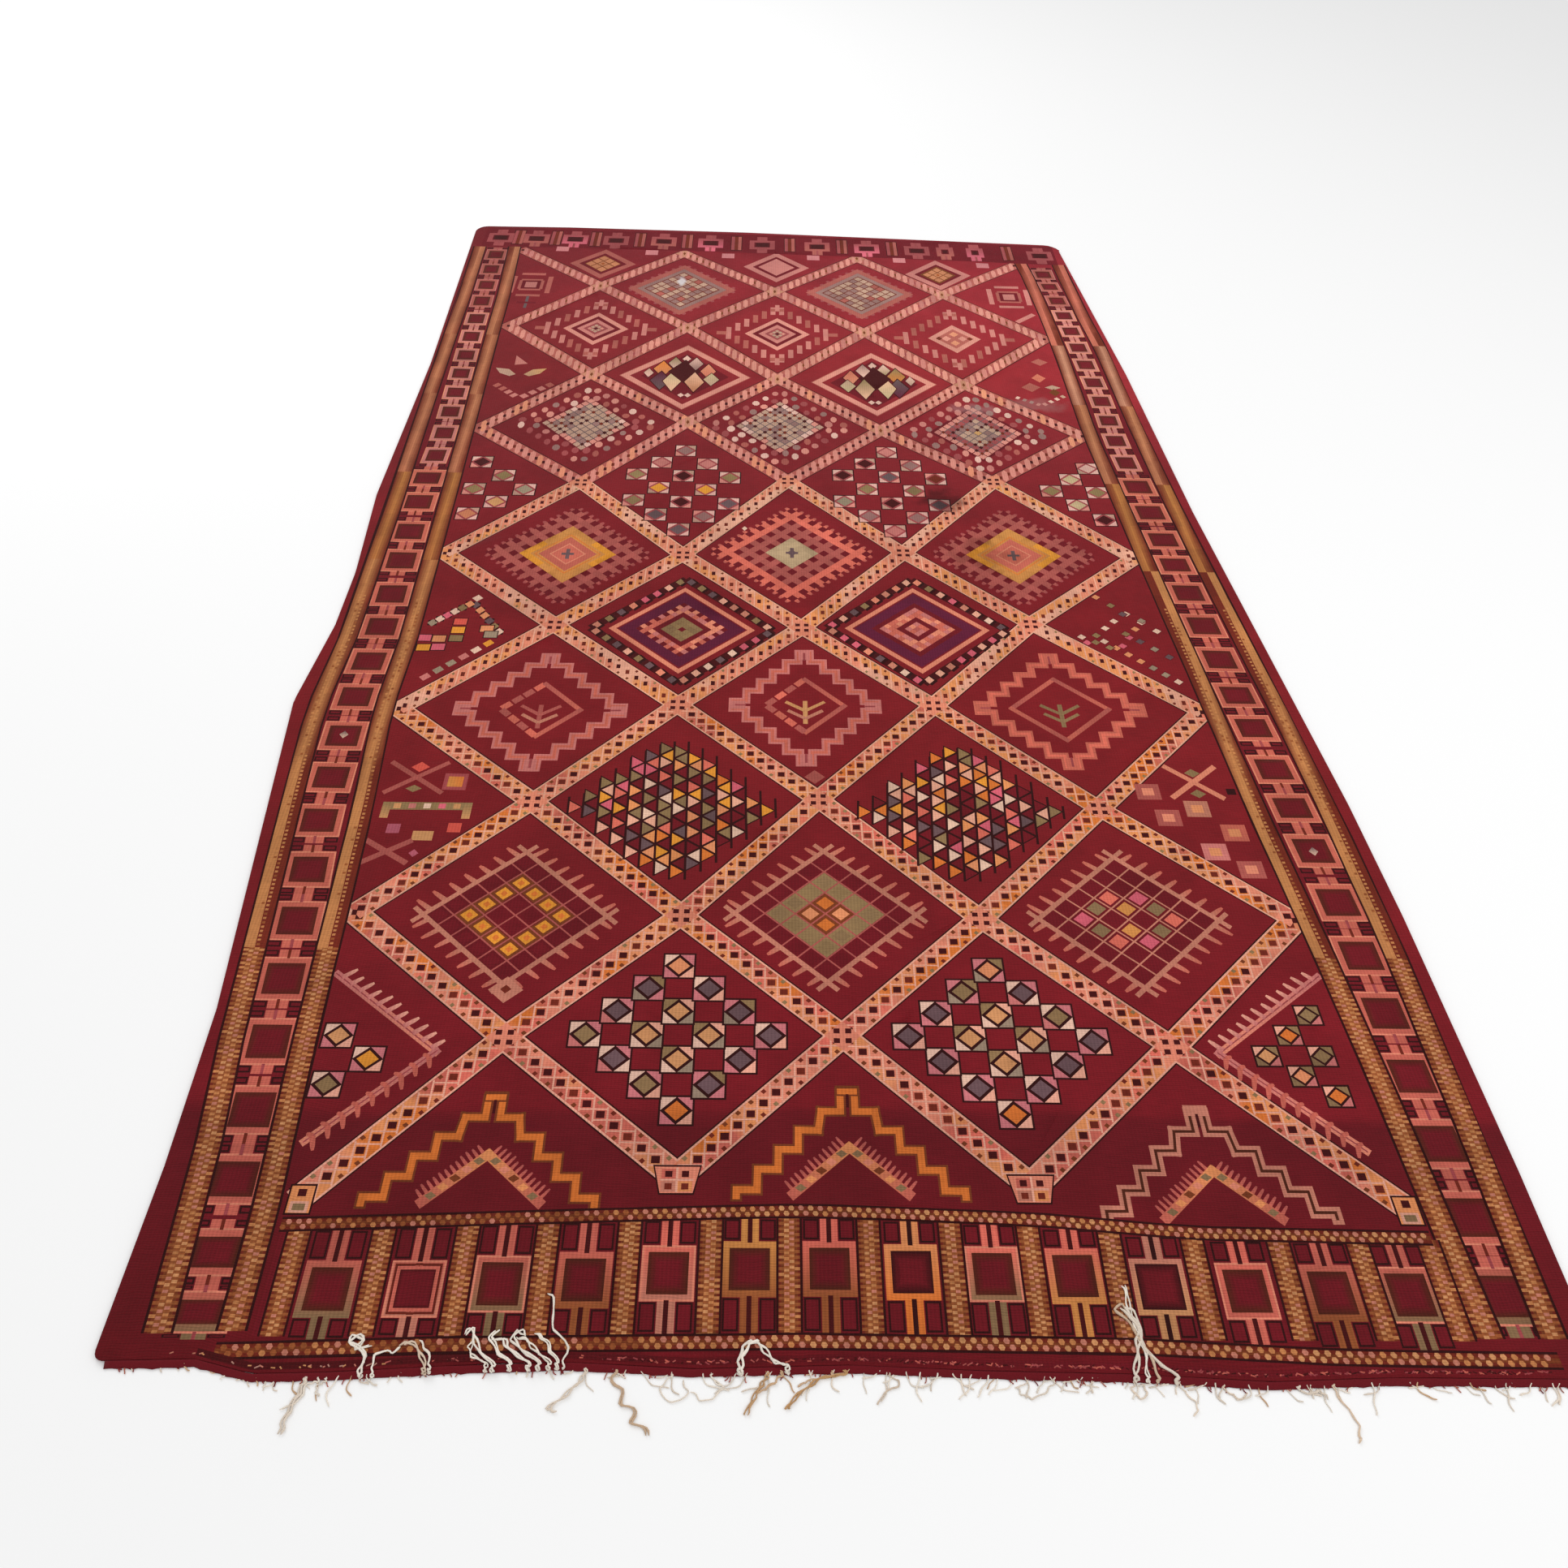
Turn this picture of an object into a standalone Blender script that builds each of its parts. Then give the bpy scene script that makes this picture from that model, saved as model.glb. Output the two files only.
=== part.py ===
"""A flat-woven Moroccan Berber rug, lying on the floor, with a worn warp fringe along its near end.

Units are metres and +Z is up. The rug lies on Z = 0, its length runs along Y, and its fringed end is at -Y.
Two pieces are modelled: the cloth, and the frayed heading with its loose warp yarns.
"""

import bisect
import math
import random
from collections import namedtuple

import bmesh
import bpy
from mathutils import Vector

# Cloth
CLOTH_THICKNESS = 0.006
RIM_ROUND = 0.0018
RIM_SEGMENTS = 2
SIDE_STEP = 0.065
FAR_STEP = 0.16
CORNER_SEGMENTS = 5
FAR_CORNER_ROUND = 0.034
NEAR_CORNER_ROUND = 0.012

# Heading: the frayed strip that still holds the warp ends
HEADING_DEPTH = 0.009
HEADING_HEIGHT = 0.0042
HEADING_INSET = 0.016
PIECE_GAP = 0.0003
NEAR_STEP = 0.055

# Loose warp yarns
YARN_WIDTH = 0.0019
YARN_HEIGHT = 0.0017
YARN_PITCH = 0.0082
YARN_TIP_TAPER = 0.6
YARN_SHORTEST = 0.007
STATION_STEP = 0.0115
PATH_NUDGE = 0.0005
WAVE_HEIGHT = 0.0016
WAVE_LENGTH = 0.034
WAVE_SHIFT = 14.0
LENGTH_SPREAD = 0.22
SEED = 11

# Colours and finish
CLOTH_COLOUR = (0.165, 0.014, 0.022)
CLOTH_ROUGHNESS = 0.92
WARP_COLOUR = (0.66, 0.58, 0.45)
WARP_ROUGHNESS = 0.9

# The woven outline. Along is the distance from the near end, left and right are the two selvedges.
Section = namedtuple("Section", "along left right")
SECTIONS = (
    Section(0.00, -0.861, 0.949),
    Section(0.25, -0.859, 0.951),
    Section(0.48, -0.866, 0.949),
    Section(0.68, -0.886, 0.944),
    Section(0.92, -0.912, 0.934),
    Section(1.13, -0.933, 0.918),
    Section(1.34, -0.912, 0.902),
    Section(1.51, -0.912, 0.888),
    Section(1.78, -0.932, 0.868),
    Section(2.13, -0.927, 0.852),
    Section(2.36, -0.928, 0.840),
    Section(2.68, -0.936, 0.816),
    Section(2.93, -0.944, 0.795),
    Section(3.18, -0.951, 0.774),
)

# The two woven ends. Across runs over the width, near and far are how far along each end lies there.
End = namedtuple("End", "across near far")
ENDS = (
    End(-0.96, 0.004, 3.178),
    End(-0.74, 0.009, 3.180),
    End(-0.67, -0.007, 3.180),
    End(-0.58, -0.005, 3.179),
    End(-0.45, 0.002, 3.178),
    End(-0.30, 0.007, 3.176),
    End(-0.15, 0.000, 3.172),
    End(0.04, 0.005, 3.164),
    End(0.20, -0.001, 3.156),
    End(0.38, -0.004, 3.147),
    End(0.54, -0.012, 3.138),
    End(0.68, -0.007, 3.130),
    End(0.96, -0.008, 3.116),
)

# Yarns lying outwards on the floor. Reach is how far they lie past the heading, lean is their sideways
# drift for each metre of reach. A reach under YARN_SHORTEST leaves the heading bare.
Lie = namedtuple("Lie", "across reach lean")
FLOOR_LIES = (
    Lie(-0.860, 0.020, -0.20),
    Lie(-0.760, 0.022, -0.20),
    Lie(-0.720, 0.004, -0.30),
    Lie(-0.640, 0.012, -0.40),
    Lie(-0.606, 0.062, -0.32),
    Lie(-0.590, 0.058, -0.32),
    Lie(-0.572, 0.018, -0.50),
    Lie(-0.536, 0.028, -0.60),
    Lie(-0.510, 0.004, -0.60),
    Lie(-0.372, 0.004, -0.70),
    Lie(-0.330, 0.030, -0.80),
    Lie(-0.292, 0.016, -0.70),
    Lie(-0.262, 0.048, -0.50),
    Lie(-0.246, 0.010, -0.20),
    Lie(-0.222, 0.036, 0.02),
    Lie(-0.206, 0.070, 0.00),
    Lie(-0.190, 0.062, -0.10),
    Lie(-0.160, 0.042, -0.28),
    Lie(-0.100, 0.042, -0.50),
    Lie(-0.064, 0.054, -0.50),
    Lie(-0.020, 0.016, -0.70),
    Lie(0.030, 0.046, -1.00),
    Lie(0.060, 0.022, -0.50),
    Lie(0.120, 0.044, -0.35),
    Lie(0.180, 0.034, -0.40),
    Lie(0.250, 0.030, -0.50),
    Lie(0.310, 0.040, -0.50),
    Lie(0.350, 0.004, 0.00),
    Lie(0.392, 0.028, 0.40),
    Lie(0.430, 0.004, 0.40),
    Lie(0.490, 0.034, 0.30),
    Lie(0.530, 0.012, 0.10),
    Lie(0.600, 0.030, 0.45),
    Lie(0.640, 0.068, 0.35),
    Lie(0.660, 0.026, 0.30),
    Lie(0.740, 0.022, 0.10),
    Lie(0.940, 0.022, 0.00),
)

# Yarns that fold back over the cloth, one row for each.
BACK_LIES = (
    Lie(-0.546, 0.034, -0.10),
    Lie(-0.528, 0.040, 0.25),
    Lie(-0.500, 0.026, 0.60),
    Lie(-0.432, 0.044, -1.30),
    Lie(-0.420, 0.056, -1.30),
    Lie(-0.408, 0.050, -1.25),
    Lie(-0.396, 0.066, -1.20),
    Lie(-0.384, 0.058, -1.15),
    Lie(-0.372, 0.070, -1.10),
    Lie(-0.352, 0.048, -0.60),
    Lie(-0.336, 0.088, 0.10),
    Lie(-0.088, 0.034, 0.20),
    Lie(-0.050, 0.036, -0.45),
    Lie(0.372, 0.046, 0.05),
    Lie(0.400, 0.072, -0.30),
    Lie(0.412, 0.100, -0.34),
)

# The bend of a yarn that folds back, as steps out of the heading, heights and slopes of the yarn there.
Turn = namedtuple("Turn", "outward height slope")
BACK_TURNS = (
    Turn(0.0016, 0.0037, 40.0),
    Turn(0.0025, 0.0054, 90.0),
    Turn(0.0015, 0.0070, 140.0),
    Turn(-0.0014, 0.0076, 180.0),
)

Yarn = namedtuple("Yarn", "across reach lean folds_back")


def clear_scene():
    """Removes every object that the scene starts with."""
    for thing in list(bpy.data.objects):
        bpy.data.objects.remove(thing)


def smooth_between(rows, key, value, where):
    """Reads one column of a table at a place between its rows, on a smooth curve through them."""
    keys = [getattr(row, key) for row in rows]
    values = [getattr(row, value) for row in rows]
    index = min(max(bisect.bisect_right(keys, where) - 1, 0), len(keys) - 2)
    before, after = max(index - 1, 0), min(index + 2, len(keys) - 1)
    span = keys[index + 1] - keys[index]
    slope_in = (values[index + 1] - values[before]) / (keys[index + 1] - keys[before])
    slope_out = (values[after] - values[index]) / (keys[after] - keys[index])
    part = min(max((where - keys[index]) / span, 0.0), 1.0)
    squared, cubed = part * part, part * part * part
    return (
        (2 * cubed - 3 * squared + 1) * values[index]
        + (cubed - 2 * squared + part) * slope_in * span
        + (3 * squared - 2 * cubed) * values[index + 1]
        + (cubed - squared) * slope_out * span
    )


def straight_between(rows, key, value, where):
    """Reads one column of a table at a place between its rows, on straight runs between them."""
    keys = [getattr(row, key) for row in rows]
    values = [getattr(row, value) for row in rows]
    index = min(max(bisect.bisect_right(keys, where) - 1, 0), len(keys) - 2)
    part = (where - keys[index]) / (keys[index + 1] - keys[index])
    return values[index] + min(max(part, 0.0), 1.0) * (values[index + 1] - values[index])


def evenly(start, end, step):
    """Places from start to end, both included, at about one step from each other."""
    count = max(1, round(abs(end - start) / step))
    return [start + (end - start) * index / count for index in range(count + 1)]


def near_end(across):
    """How far along the cloth's near end lies, on the straight runs that the heading shares with it."""
    first, last = ENDS[0].across, ENDS[-1].across
    knots = evenly(first, last, NEAR_STEP)
    heights = [smooth_between(ENDS, "across", "near", knot) for knot in knots]
    index = min(max(bisect.bisect_right(knots, across) - 1, 0), len(knots) - 2)
    part = (across - knots[index]) / (knots[index + 1] - knots[index])
    return heights[index] + part * (heights[index + 1] - heights[index])


def near_knots(left, right):
    """The places between left and right where the near end changes its direction."""
    knots = evenly(ENDS[0].across, ENDS[-1].across, NEAR_STEP)
    return [knot for knot in knots if left < knot < right]


def cloth_outline():
    """The cloth's outline from above, anticlockwise from its near left corner, with its four corners' places."""
    left, right = SECTIONS[0].left, SECTIONS[0].right
    near_left, near_right = near_end(left), near_end(right)
    far_right, far_left = SECTIONS[-1].right, SECTIONS[-1].left
    far_right_along = smooth_between(ENDS, "across", "far", far_right)
    far_left_along = smooth_between(ENDS, "across", "far", far_left)
    near = [(across, near_end(across)) for across in [left] + near_knots(left, right)]
    up = [
        (smooth_between(SECTIONS, "along", "right", along), along)
        for along in evenly(near_right, far_right_along, SIDE_STEP)[:-1]
    ]
    far = [
        (across, smooth_between(ENDS, "across", "far", across))
        for across in evenly(far_right, far_left, FAR_STEP)[:-1]
    ]
    down = [
        (smooth_between(SECTIONS, "along", "left", along), along)
        for along in evenly(far_left_along, near_left, SIDE_STEP)[:-1]
    ]
    corners = [0, len(near), len(near) + len(up), len(near) + len(up) + len(far)]
    return near + up + far + down, corners


def round_corner(form, corner, radius):
    """Rounds one upright corner edge of the cloth."""
    edges = [edge for edge in corner.link_edges if abs(edge.verts[0].co.z - edge.verts[1].co.z) > 1e-6]
    bmesh.ops.bevel(
        form,
        geom=edges,
        offset=radius,
        segments=CORNER_SEGMENTS,
        profile=0.5,
        affect="EDGES",
        material=-1,
    )


def build_cloth():
    """The cloth: its outline raised to the cloth's thickness, with rounded corners and rims."""
    outline, corners = cloth_outline()
    form = bmesh.new()
    floor_points = [form.verts.new((across, along, 0.0)) for across, along in outline]
    sheet = form.faces.new(floor_points)
    raised = bmesh.ops.extrude_face_region(form, geom=[sheet], use_keep_orig=True)
    for vert in raised["geom"]:
        if isinstance(vert, bmesh.types.BMVert):
            vert.co.z = CLOTH_THICKNESS
    bmesh.ops.recalc_face_normals(form, faces=form.faces)
    corner_points = [Vector((*outline[index], 0.0)) for index in corners]
    radii = (NEAR_CORNER_ROUND, NEAR_CORNER_ROUND, FAR_CORNER_ROUND, FAR_CORNER_ROUND)
    for point, radius in zip(corner_points, radii):
        corner = min(form.verts, key=lambda vert: (vert.co - point).length)
        round_corner(form, corner, radius)
    rims = [
        edge
        for edge in form.edges
        if abs(edge.verts[0].co.z - edge.verts[1].co.z) < 1e-6
        and any(abs(face.normal.z) > 0.9 for face in edge.link_faces)
        and any(abs(face.normal.z) < 0.1 for face in edge.link_faces)
    ]
    bmesh.ops.bevel(
        form,
        geom=rims,
        offset=RIM_ROUND,
        segments=RIM_SEGMENTS,
        profile=0.5,
        affect="EDGES",
        material=-1,
    )
    return form


def planned_yarns():
    """Every loose yarn, from left to right: those folded back as listed, and the floor's ones between them."""
    chance = random.Random(SEED)
    first = SECTIONS[0].left + HEADING_INSET + YARN_PITCH
    last = SECTIONS[0].right - HEADING_INSET - YARN_PITCH
    yarns = [Yarn(lie.across, lie.reach, lie.lean, True) for lie in BACK_LIES]
    for across in evenly(first, last, YARN_PITCH):
        spread = 1.0 + LENGTH_SPREAD * (2.0 * chance.random() - 1.0)
        reach = straight_between(FLOOR_LIES, "across", "reach", across)
        lean = straight_between(FLOOR_LIES, "across", "lean", across)
        beside = min(abs(across - lie.across) for lie in BACK_LIES)
        if reach * spread < YARN_SHORTEST or beside < 2.0 * YARN_WIDTH:
            continue
        yarns.append(Yarn(across, reach * spread, lean, False))
    return sorted(yarns, key=lambda yarn: yarn.across)


def heading_front(across):
    """How far along the heading's outer side lies."""
    return near_end(across) - PIECE_GAP - HEADING_DEPTH


def build_heading(form, yarns):
    """The heading strip, cut across at each yarn.

    It returns, for each yarn, the low front face that a floor yarn grows from and the high one that a yarn
    folded back grows from.
    """
    left, right = SECTIONS[0].left + HEADING_INSET, SECTIONS[0].right - HEADING_INSET
    half = YARN_WIDTH / 2
    bare = [left] + near_knots(left, right) + [right]
    bare = [cut for cut in bare if min(abs(cut - yarn.across) for yarn in yarns) > 1.2 * half]
    cuts = [(cut, None) for cut in bare]
    for number, yarn in enumerate(yarns):
        cuts += [(yarn.across - half, number), (yarn.across + half, None)]
    cuts.sort()
    rings = []
    for across, _ in cuts:
        front, back = heading_front(across), near_end(across) - PIECE_GAP
        profile = (
            (front, 0.0),
            (front, YARN_HEIGHT),
            (front, HEADING_HEIGHT),
            (back, HEADING_HEIGHT),
            (back, 0.0),
        )
        rings.append([form.verts.new((across, along, height)) for along, height in profile])
    low_fronts, high_fronts = {}, {}
    for (_, number), ring, following in zip(cuts, rings, rings[1:]):
        sides = []
        for side in range(len(ring)):
            after = (side + 1) % len(ring)
            sides.append(form.faces.new((ring[side], following[side], following[after], ring[after])))
        if number is not None:
            low_fronts[number], high_fronts[number] = sides[0], sides[1]
    form.faces.new(rings[0])
    form.faces.new(rings[-1][::-1])
    return low_fronts, high_fronts


def station(centre, forward, side, scale):
    """The four corners of a yarn's square section at a place: low left, low right, high right, high left."""
    normal = forward.cross(side)
    across = side * (scale * YARN_WIDTH / 2)
    rise = normal * (scale * YARN_HEIGHT / 2)
    return [centre - across - rise, centre + across - rise, centre + across + rise, centre - across + rise]


def lying_path(yarn, start_along, way, lift):
    """Stations of the level run of a yarn, going away from the cloth where way is -1 and over it where it is 1.

    Lift is the height of what the yarn lies on.
    """
    steps = max(2, math.ceil(yarn.reach / STATION_STEP))
    phase = WAVE_SHIFT * yarn.across

    def place(distance):
        wave = math.sin(2.0 * math.pi * distance / WAVE_LENGTH + phase) - math.sin(phase)
        sideways = yarn.lean * distance + WAVE_HEIGHT * wave * min(1.0, distance / WAVE_LENGTH)
        return Vector((yarn.across + sideways, start_along + way * distance, 0.0))

    stations = []
    for index in range(1, steps + 1):
        distance = yarn.reach * index / steps
        forward = (place(distance + PATH_NUDGE) - place(distance - PATH_NUDGE)).normalized()
        side = Vector((forward.y, -forward.x, 0.0)) * way
        scale = YARN_TIP_TAPER if index == steps else 1.0
        centre = place(distance)
        centre.z = lift + scale * YARN_HEIGHT / 2
        stations.append(station(centre, forward, side, scale))
    return stations


def turning_path(yarn):
    """Stations of the short bend with which a yarn leaves the heading and turns back over the cloth."""
    side = Vector((1.0, 0.0, 0.0))
    front = heading_front(yarn.across)
    stations = []
    for turn in BACK_TURNS:
        slope = math.radians(turn.slope)
        forward = Vector((0.0, -math.cos(slope), math.sin(slope)))
        centre = Vector((yarn.across, front - turn.outward, turn.height))
        stations.append(station(centre, forward, side, 1.0))
    return stations


def grow(form, face, stations):
    """Draws a yarn out of one face of the heading, through its stations in turn."""
    for corners in stations:
        face = bmesh.ops.extrude_discrete_faces(form, faces=[face])["faces"][0]
        for vert, corner in zip(face.verts, corners):
            vert.co = corner


def build_fringe():
    """The heading with every loose yarn drawn out of it, as one body."""
    form = bmesh.new()
    yarns = planned_yarns()
    low_fronts, high_fronts = build_heading(form, yarns)
    last_turn = BACK_TURNS[-1]
    for number, yarn in enumerate(yarns):
        front = heading_front(yarn.across)
        if yarn.folds_back:
            lift = last_turn.height - YARN_HEIGHT / 2
            stations = turning_path(yarn) + lying_path(yarn, front - last_turn.outward, 1.0, lift)
            grow(form, high_fronts[number], stations)
        else:
            grow(form, low_fronts[number], lying_path(yarn, front, -1.0, 0.0))
    return form


def make_material(name, colour, roughness):
    """A plain cloth material."""
    material = bpy.data.materials.new(name)
    material.use_nodes = True
    shader = material.node_tree.nodes["Principled BSDF"]
    shader.inputs["Base Color"].default_value = (*colour, 1.0)
    shader.inputs["Roughness"].default_value = roughness
    shader.inputs["Metallic"].default_value = 0.0
    return material


def finish(name, form, material):
    """Turns a form into a named object with its material."""
    mesh = bpy.data.meshes.new(name)
    form.to_mesh(mesh)
    form.free()
    mesh.materials.append(material)
    piece = bpy.data.objects.new(name, mesh)
    bpy.context.scene.collection.objects.link(piece)
    return piece


def stand_over_origin(pieces):
    """Shifts the meshes together, so that the middle of the whole rug lies over the origin."""
    points = [vert.co for piece in pieces for vert in piece.data.vertices]
    low = Vector((min(point.x for point in points), min(point.y for point in points), 0.0))
    high = Vector((max(point.x for point in points), max(point.y for point in points), 0.0))
    middle = (low + high) / 2
    for piece in pieces:
        for vert in piece.data.vertices:
            vert.co -= middle
        piece.data.update()


def main():
    """Builds both pieces and stands the rug over the origin."""
    clear_scene()
    wool = make_material("burgundy_wool", CLOTH_COLOUR, CLOTH_ROUGHNESS)
    warp = make_material("cream_warp", WARP_COLOUR, WARP_ROUGHNESS)
    cloth = finish("rug", build_cloth(), wool)
    fringe = finish("fringe", build_fringe(), warp)
    stand_over_origin([cloth, fringe])


main()
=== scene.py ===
"""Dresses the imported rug: a long flat-woven Berber rug, its brocaded lattice field and borders, and its frayed
warp ends.

Everything is in metres, in the row frame: X runs across the cloth, Y along it from the fringed end, Z up from the
floor. The pattern is laid out on the weaver's plan, whose origin lies 0.43 m in from the near end, and the packed
rug's box says where that plan falls.
"""

import bisect
import logging
import math
import random
from collections.abc import Callable, Sequence
from dataclasses import dataclass, field
from enum import Enum

import bmesh
import bpy
import numpy as np
from mathutils import Matrix, Vector, noise
from mathutils.geometry import delaunay_2d_cdt


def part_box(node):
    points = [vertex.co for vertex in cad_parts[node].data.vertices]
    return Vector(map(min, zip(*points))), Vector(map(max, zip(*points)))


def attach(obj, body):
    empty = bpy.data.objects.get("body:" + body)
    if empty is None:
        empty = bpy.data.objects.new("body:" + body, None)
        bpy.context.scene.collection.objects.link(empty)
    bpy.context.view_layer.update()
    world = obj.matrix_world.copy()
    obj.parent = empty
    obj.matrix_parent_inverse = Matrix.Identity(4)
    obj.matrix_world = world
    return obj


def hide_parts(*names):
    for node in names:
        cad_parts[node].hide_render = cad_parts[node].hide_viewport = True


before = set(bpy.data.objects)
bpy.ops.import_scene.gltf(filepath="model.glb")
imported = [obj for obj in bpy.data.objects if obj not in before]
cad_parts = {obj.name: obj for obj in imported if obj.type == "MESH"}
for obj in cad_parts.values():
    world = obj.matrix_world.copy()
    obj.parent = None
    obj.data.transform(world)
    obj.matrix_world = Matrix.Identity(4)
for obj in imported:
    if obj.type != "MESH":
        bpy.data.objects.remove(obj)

LOG = logging.getLogger("rug")
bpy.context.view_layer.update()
Corners = list[Vector]
Table = Sequence[tuple[float, float]]


class Dye(Enum):
    """The wools of the rug, each as the colour that it shows."""

    GROUND = 0x73161D
    PLUM = 0x5E141B
    INK = 0x2E0709
    DARK = 0x42090C
    WINE = 0x6A121B
    SALMON = 0xD86E56
    PEACH = 0xDA8F5C
    ORANGE = 0xD3752E
    AMBER = 0xDE9530
    CREAM = 0xDFBD9C
    PINK = 0xD0606A
    ROSE = 0xC07266
    MAUVE = 0xAD5862
    TAN = 0xC8925A
    OLIVE = 0x8A7248
    SAGE = 0x948468
    SLATE = 0x66504E
    RUST = 0x9A4C22
    GOLD = 0xB4743A
    BROWN = 0x4C2110
    CLAY = 0xBC8048
    BLOSSOM = 0xC67672
    UMBER = 0x6E2616
    BLUSH = 0xCC5442
    FLESH = 0xDB8866
    APRICOT = 0xDD9154
    SHELL = 0xE0A684
    SAND = 0xBE7C60
    HONEY = 0xCB8B44
    BRASS = 0x94552A
    BARK = 0x74391A
    CORAL = 0xC2654F
    BRICK = 0xA8564A
    DUSK = 0x9A4644
    REED = 0xB49C72
    MOSS = 0x846C46
    MULBERRY = 0x5C1730
    SHRIMP = 0xD28472
    COPPER = 0xBC744E
    FAWN = 0xB68C74
    PALE = 0xDAA894
    HEATHER = 0x946A60

    @property
    def linear(self) -> tuple[float, float, float]:
        """The dye's red, green and blue as shares of the light that it sends back."""
        shares = [(self.value >> shift & 255) / 255 for shift in (16, 8, 0)]
        return tuple(s / 12.92 if s <= 0.04045 else ((s + 0.055) / 1.055) ** 2.4 for s in shares)


def at(table: Table, place: float) -> float:
    """Reads a table of (place, value) rows by straight lines between them.

    Args:
        table: Rows in rising order of place.
        place: Where to read it.

    Returns:
        The value there, held level past either end.
    """
    places = [row[0] for row in table]
    index = min(max(bisect.bisect_right(places, place), 1), len(table) - 1)
    (a, start), (b, stop) = table[index - 1], table[index]
    share = min(max((place - a) / (b - a), 0.0), 1.0)
    return start + share * (stop - start)


def box(x: float, y: float, width: float, height: float) -> Corners:
    """An upright rectangle round a middle."""
    w, h = width / 2, height / 2
    return [Vector((x - w, y - h)), Vector((x + w, y - h)), Vector((x + w, y + h)), Vector((x - w, y + h))]


def rhomb(x: float, y: float, across: float, along: float) -> Corners:
    """A diamond round a middle, from its half diagonals."""
    return [Vector((x, y - along)), Vector((x + across, y)), Vector((x, y + along)), Vector((x - across, y))]


def strip(start: Vector, stop: Vector, width: float, overrun: float = 0.0) -> Corners:
    """A straight strip from one point to another.

    Args:
        start: Middle of its first end.
        stop: Middle of its last end.
        width: Its width.
        overrun: How far it runs on past both points.

    Returns:
        Its four corners, in turning order.
    """
    ahead = (stop - start).normalized()
    side = Vector((-ahead.y, ahead.x)) * (width / 2)
    a, b = start - ahead * overrun, stop + ahead * overrun
    return [a - side, b - side, b + side, a + side]


@dataclass
class Patch:
    """One woven area, of one dye or shading from one into another.

    Attributes:
        corners: Its outline on the plan, in turning order.
        dye: The colour at its start.
        onto: The colour that it shades into, if any.
        run: The two points between which it shades.
        float_share: How much the yarns float: 0 for plain ground, 1 for brocade.
        coarse: Whether it is large enough to show on the underside too.
        lift: Brightness of this lot of yarn.
    """

    corners: Corners
    dye: Dye
    onto: Dye | None = None
    run: tuple[Vector, Vector] | None = None
    float_share: float = 1.0
    coarse: bool = False
    lift: float = 1.0

    def tone(self, point: Vector) -> tuple[float, float, float, float]:
        """The colour and float share at a point of the patch."""
        colour = Vector(self.dye.linear)
        if self.onto and self.run:
            start, stop = self.run
            way = stop - start
            share = min(max((point - start).dot(way) / way.length_squared, 0.0), 1.0)
            colour = colour.lerp(Vector(self.onto.linear), share)
        return (*(colour * self.lift), self.float_share)


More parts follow.
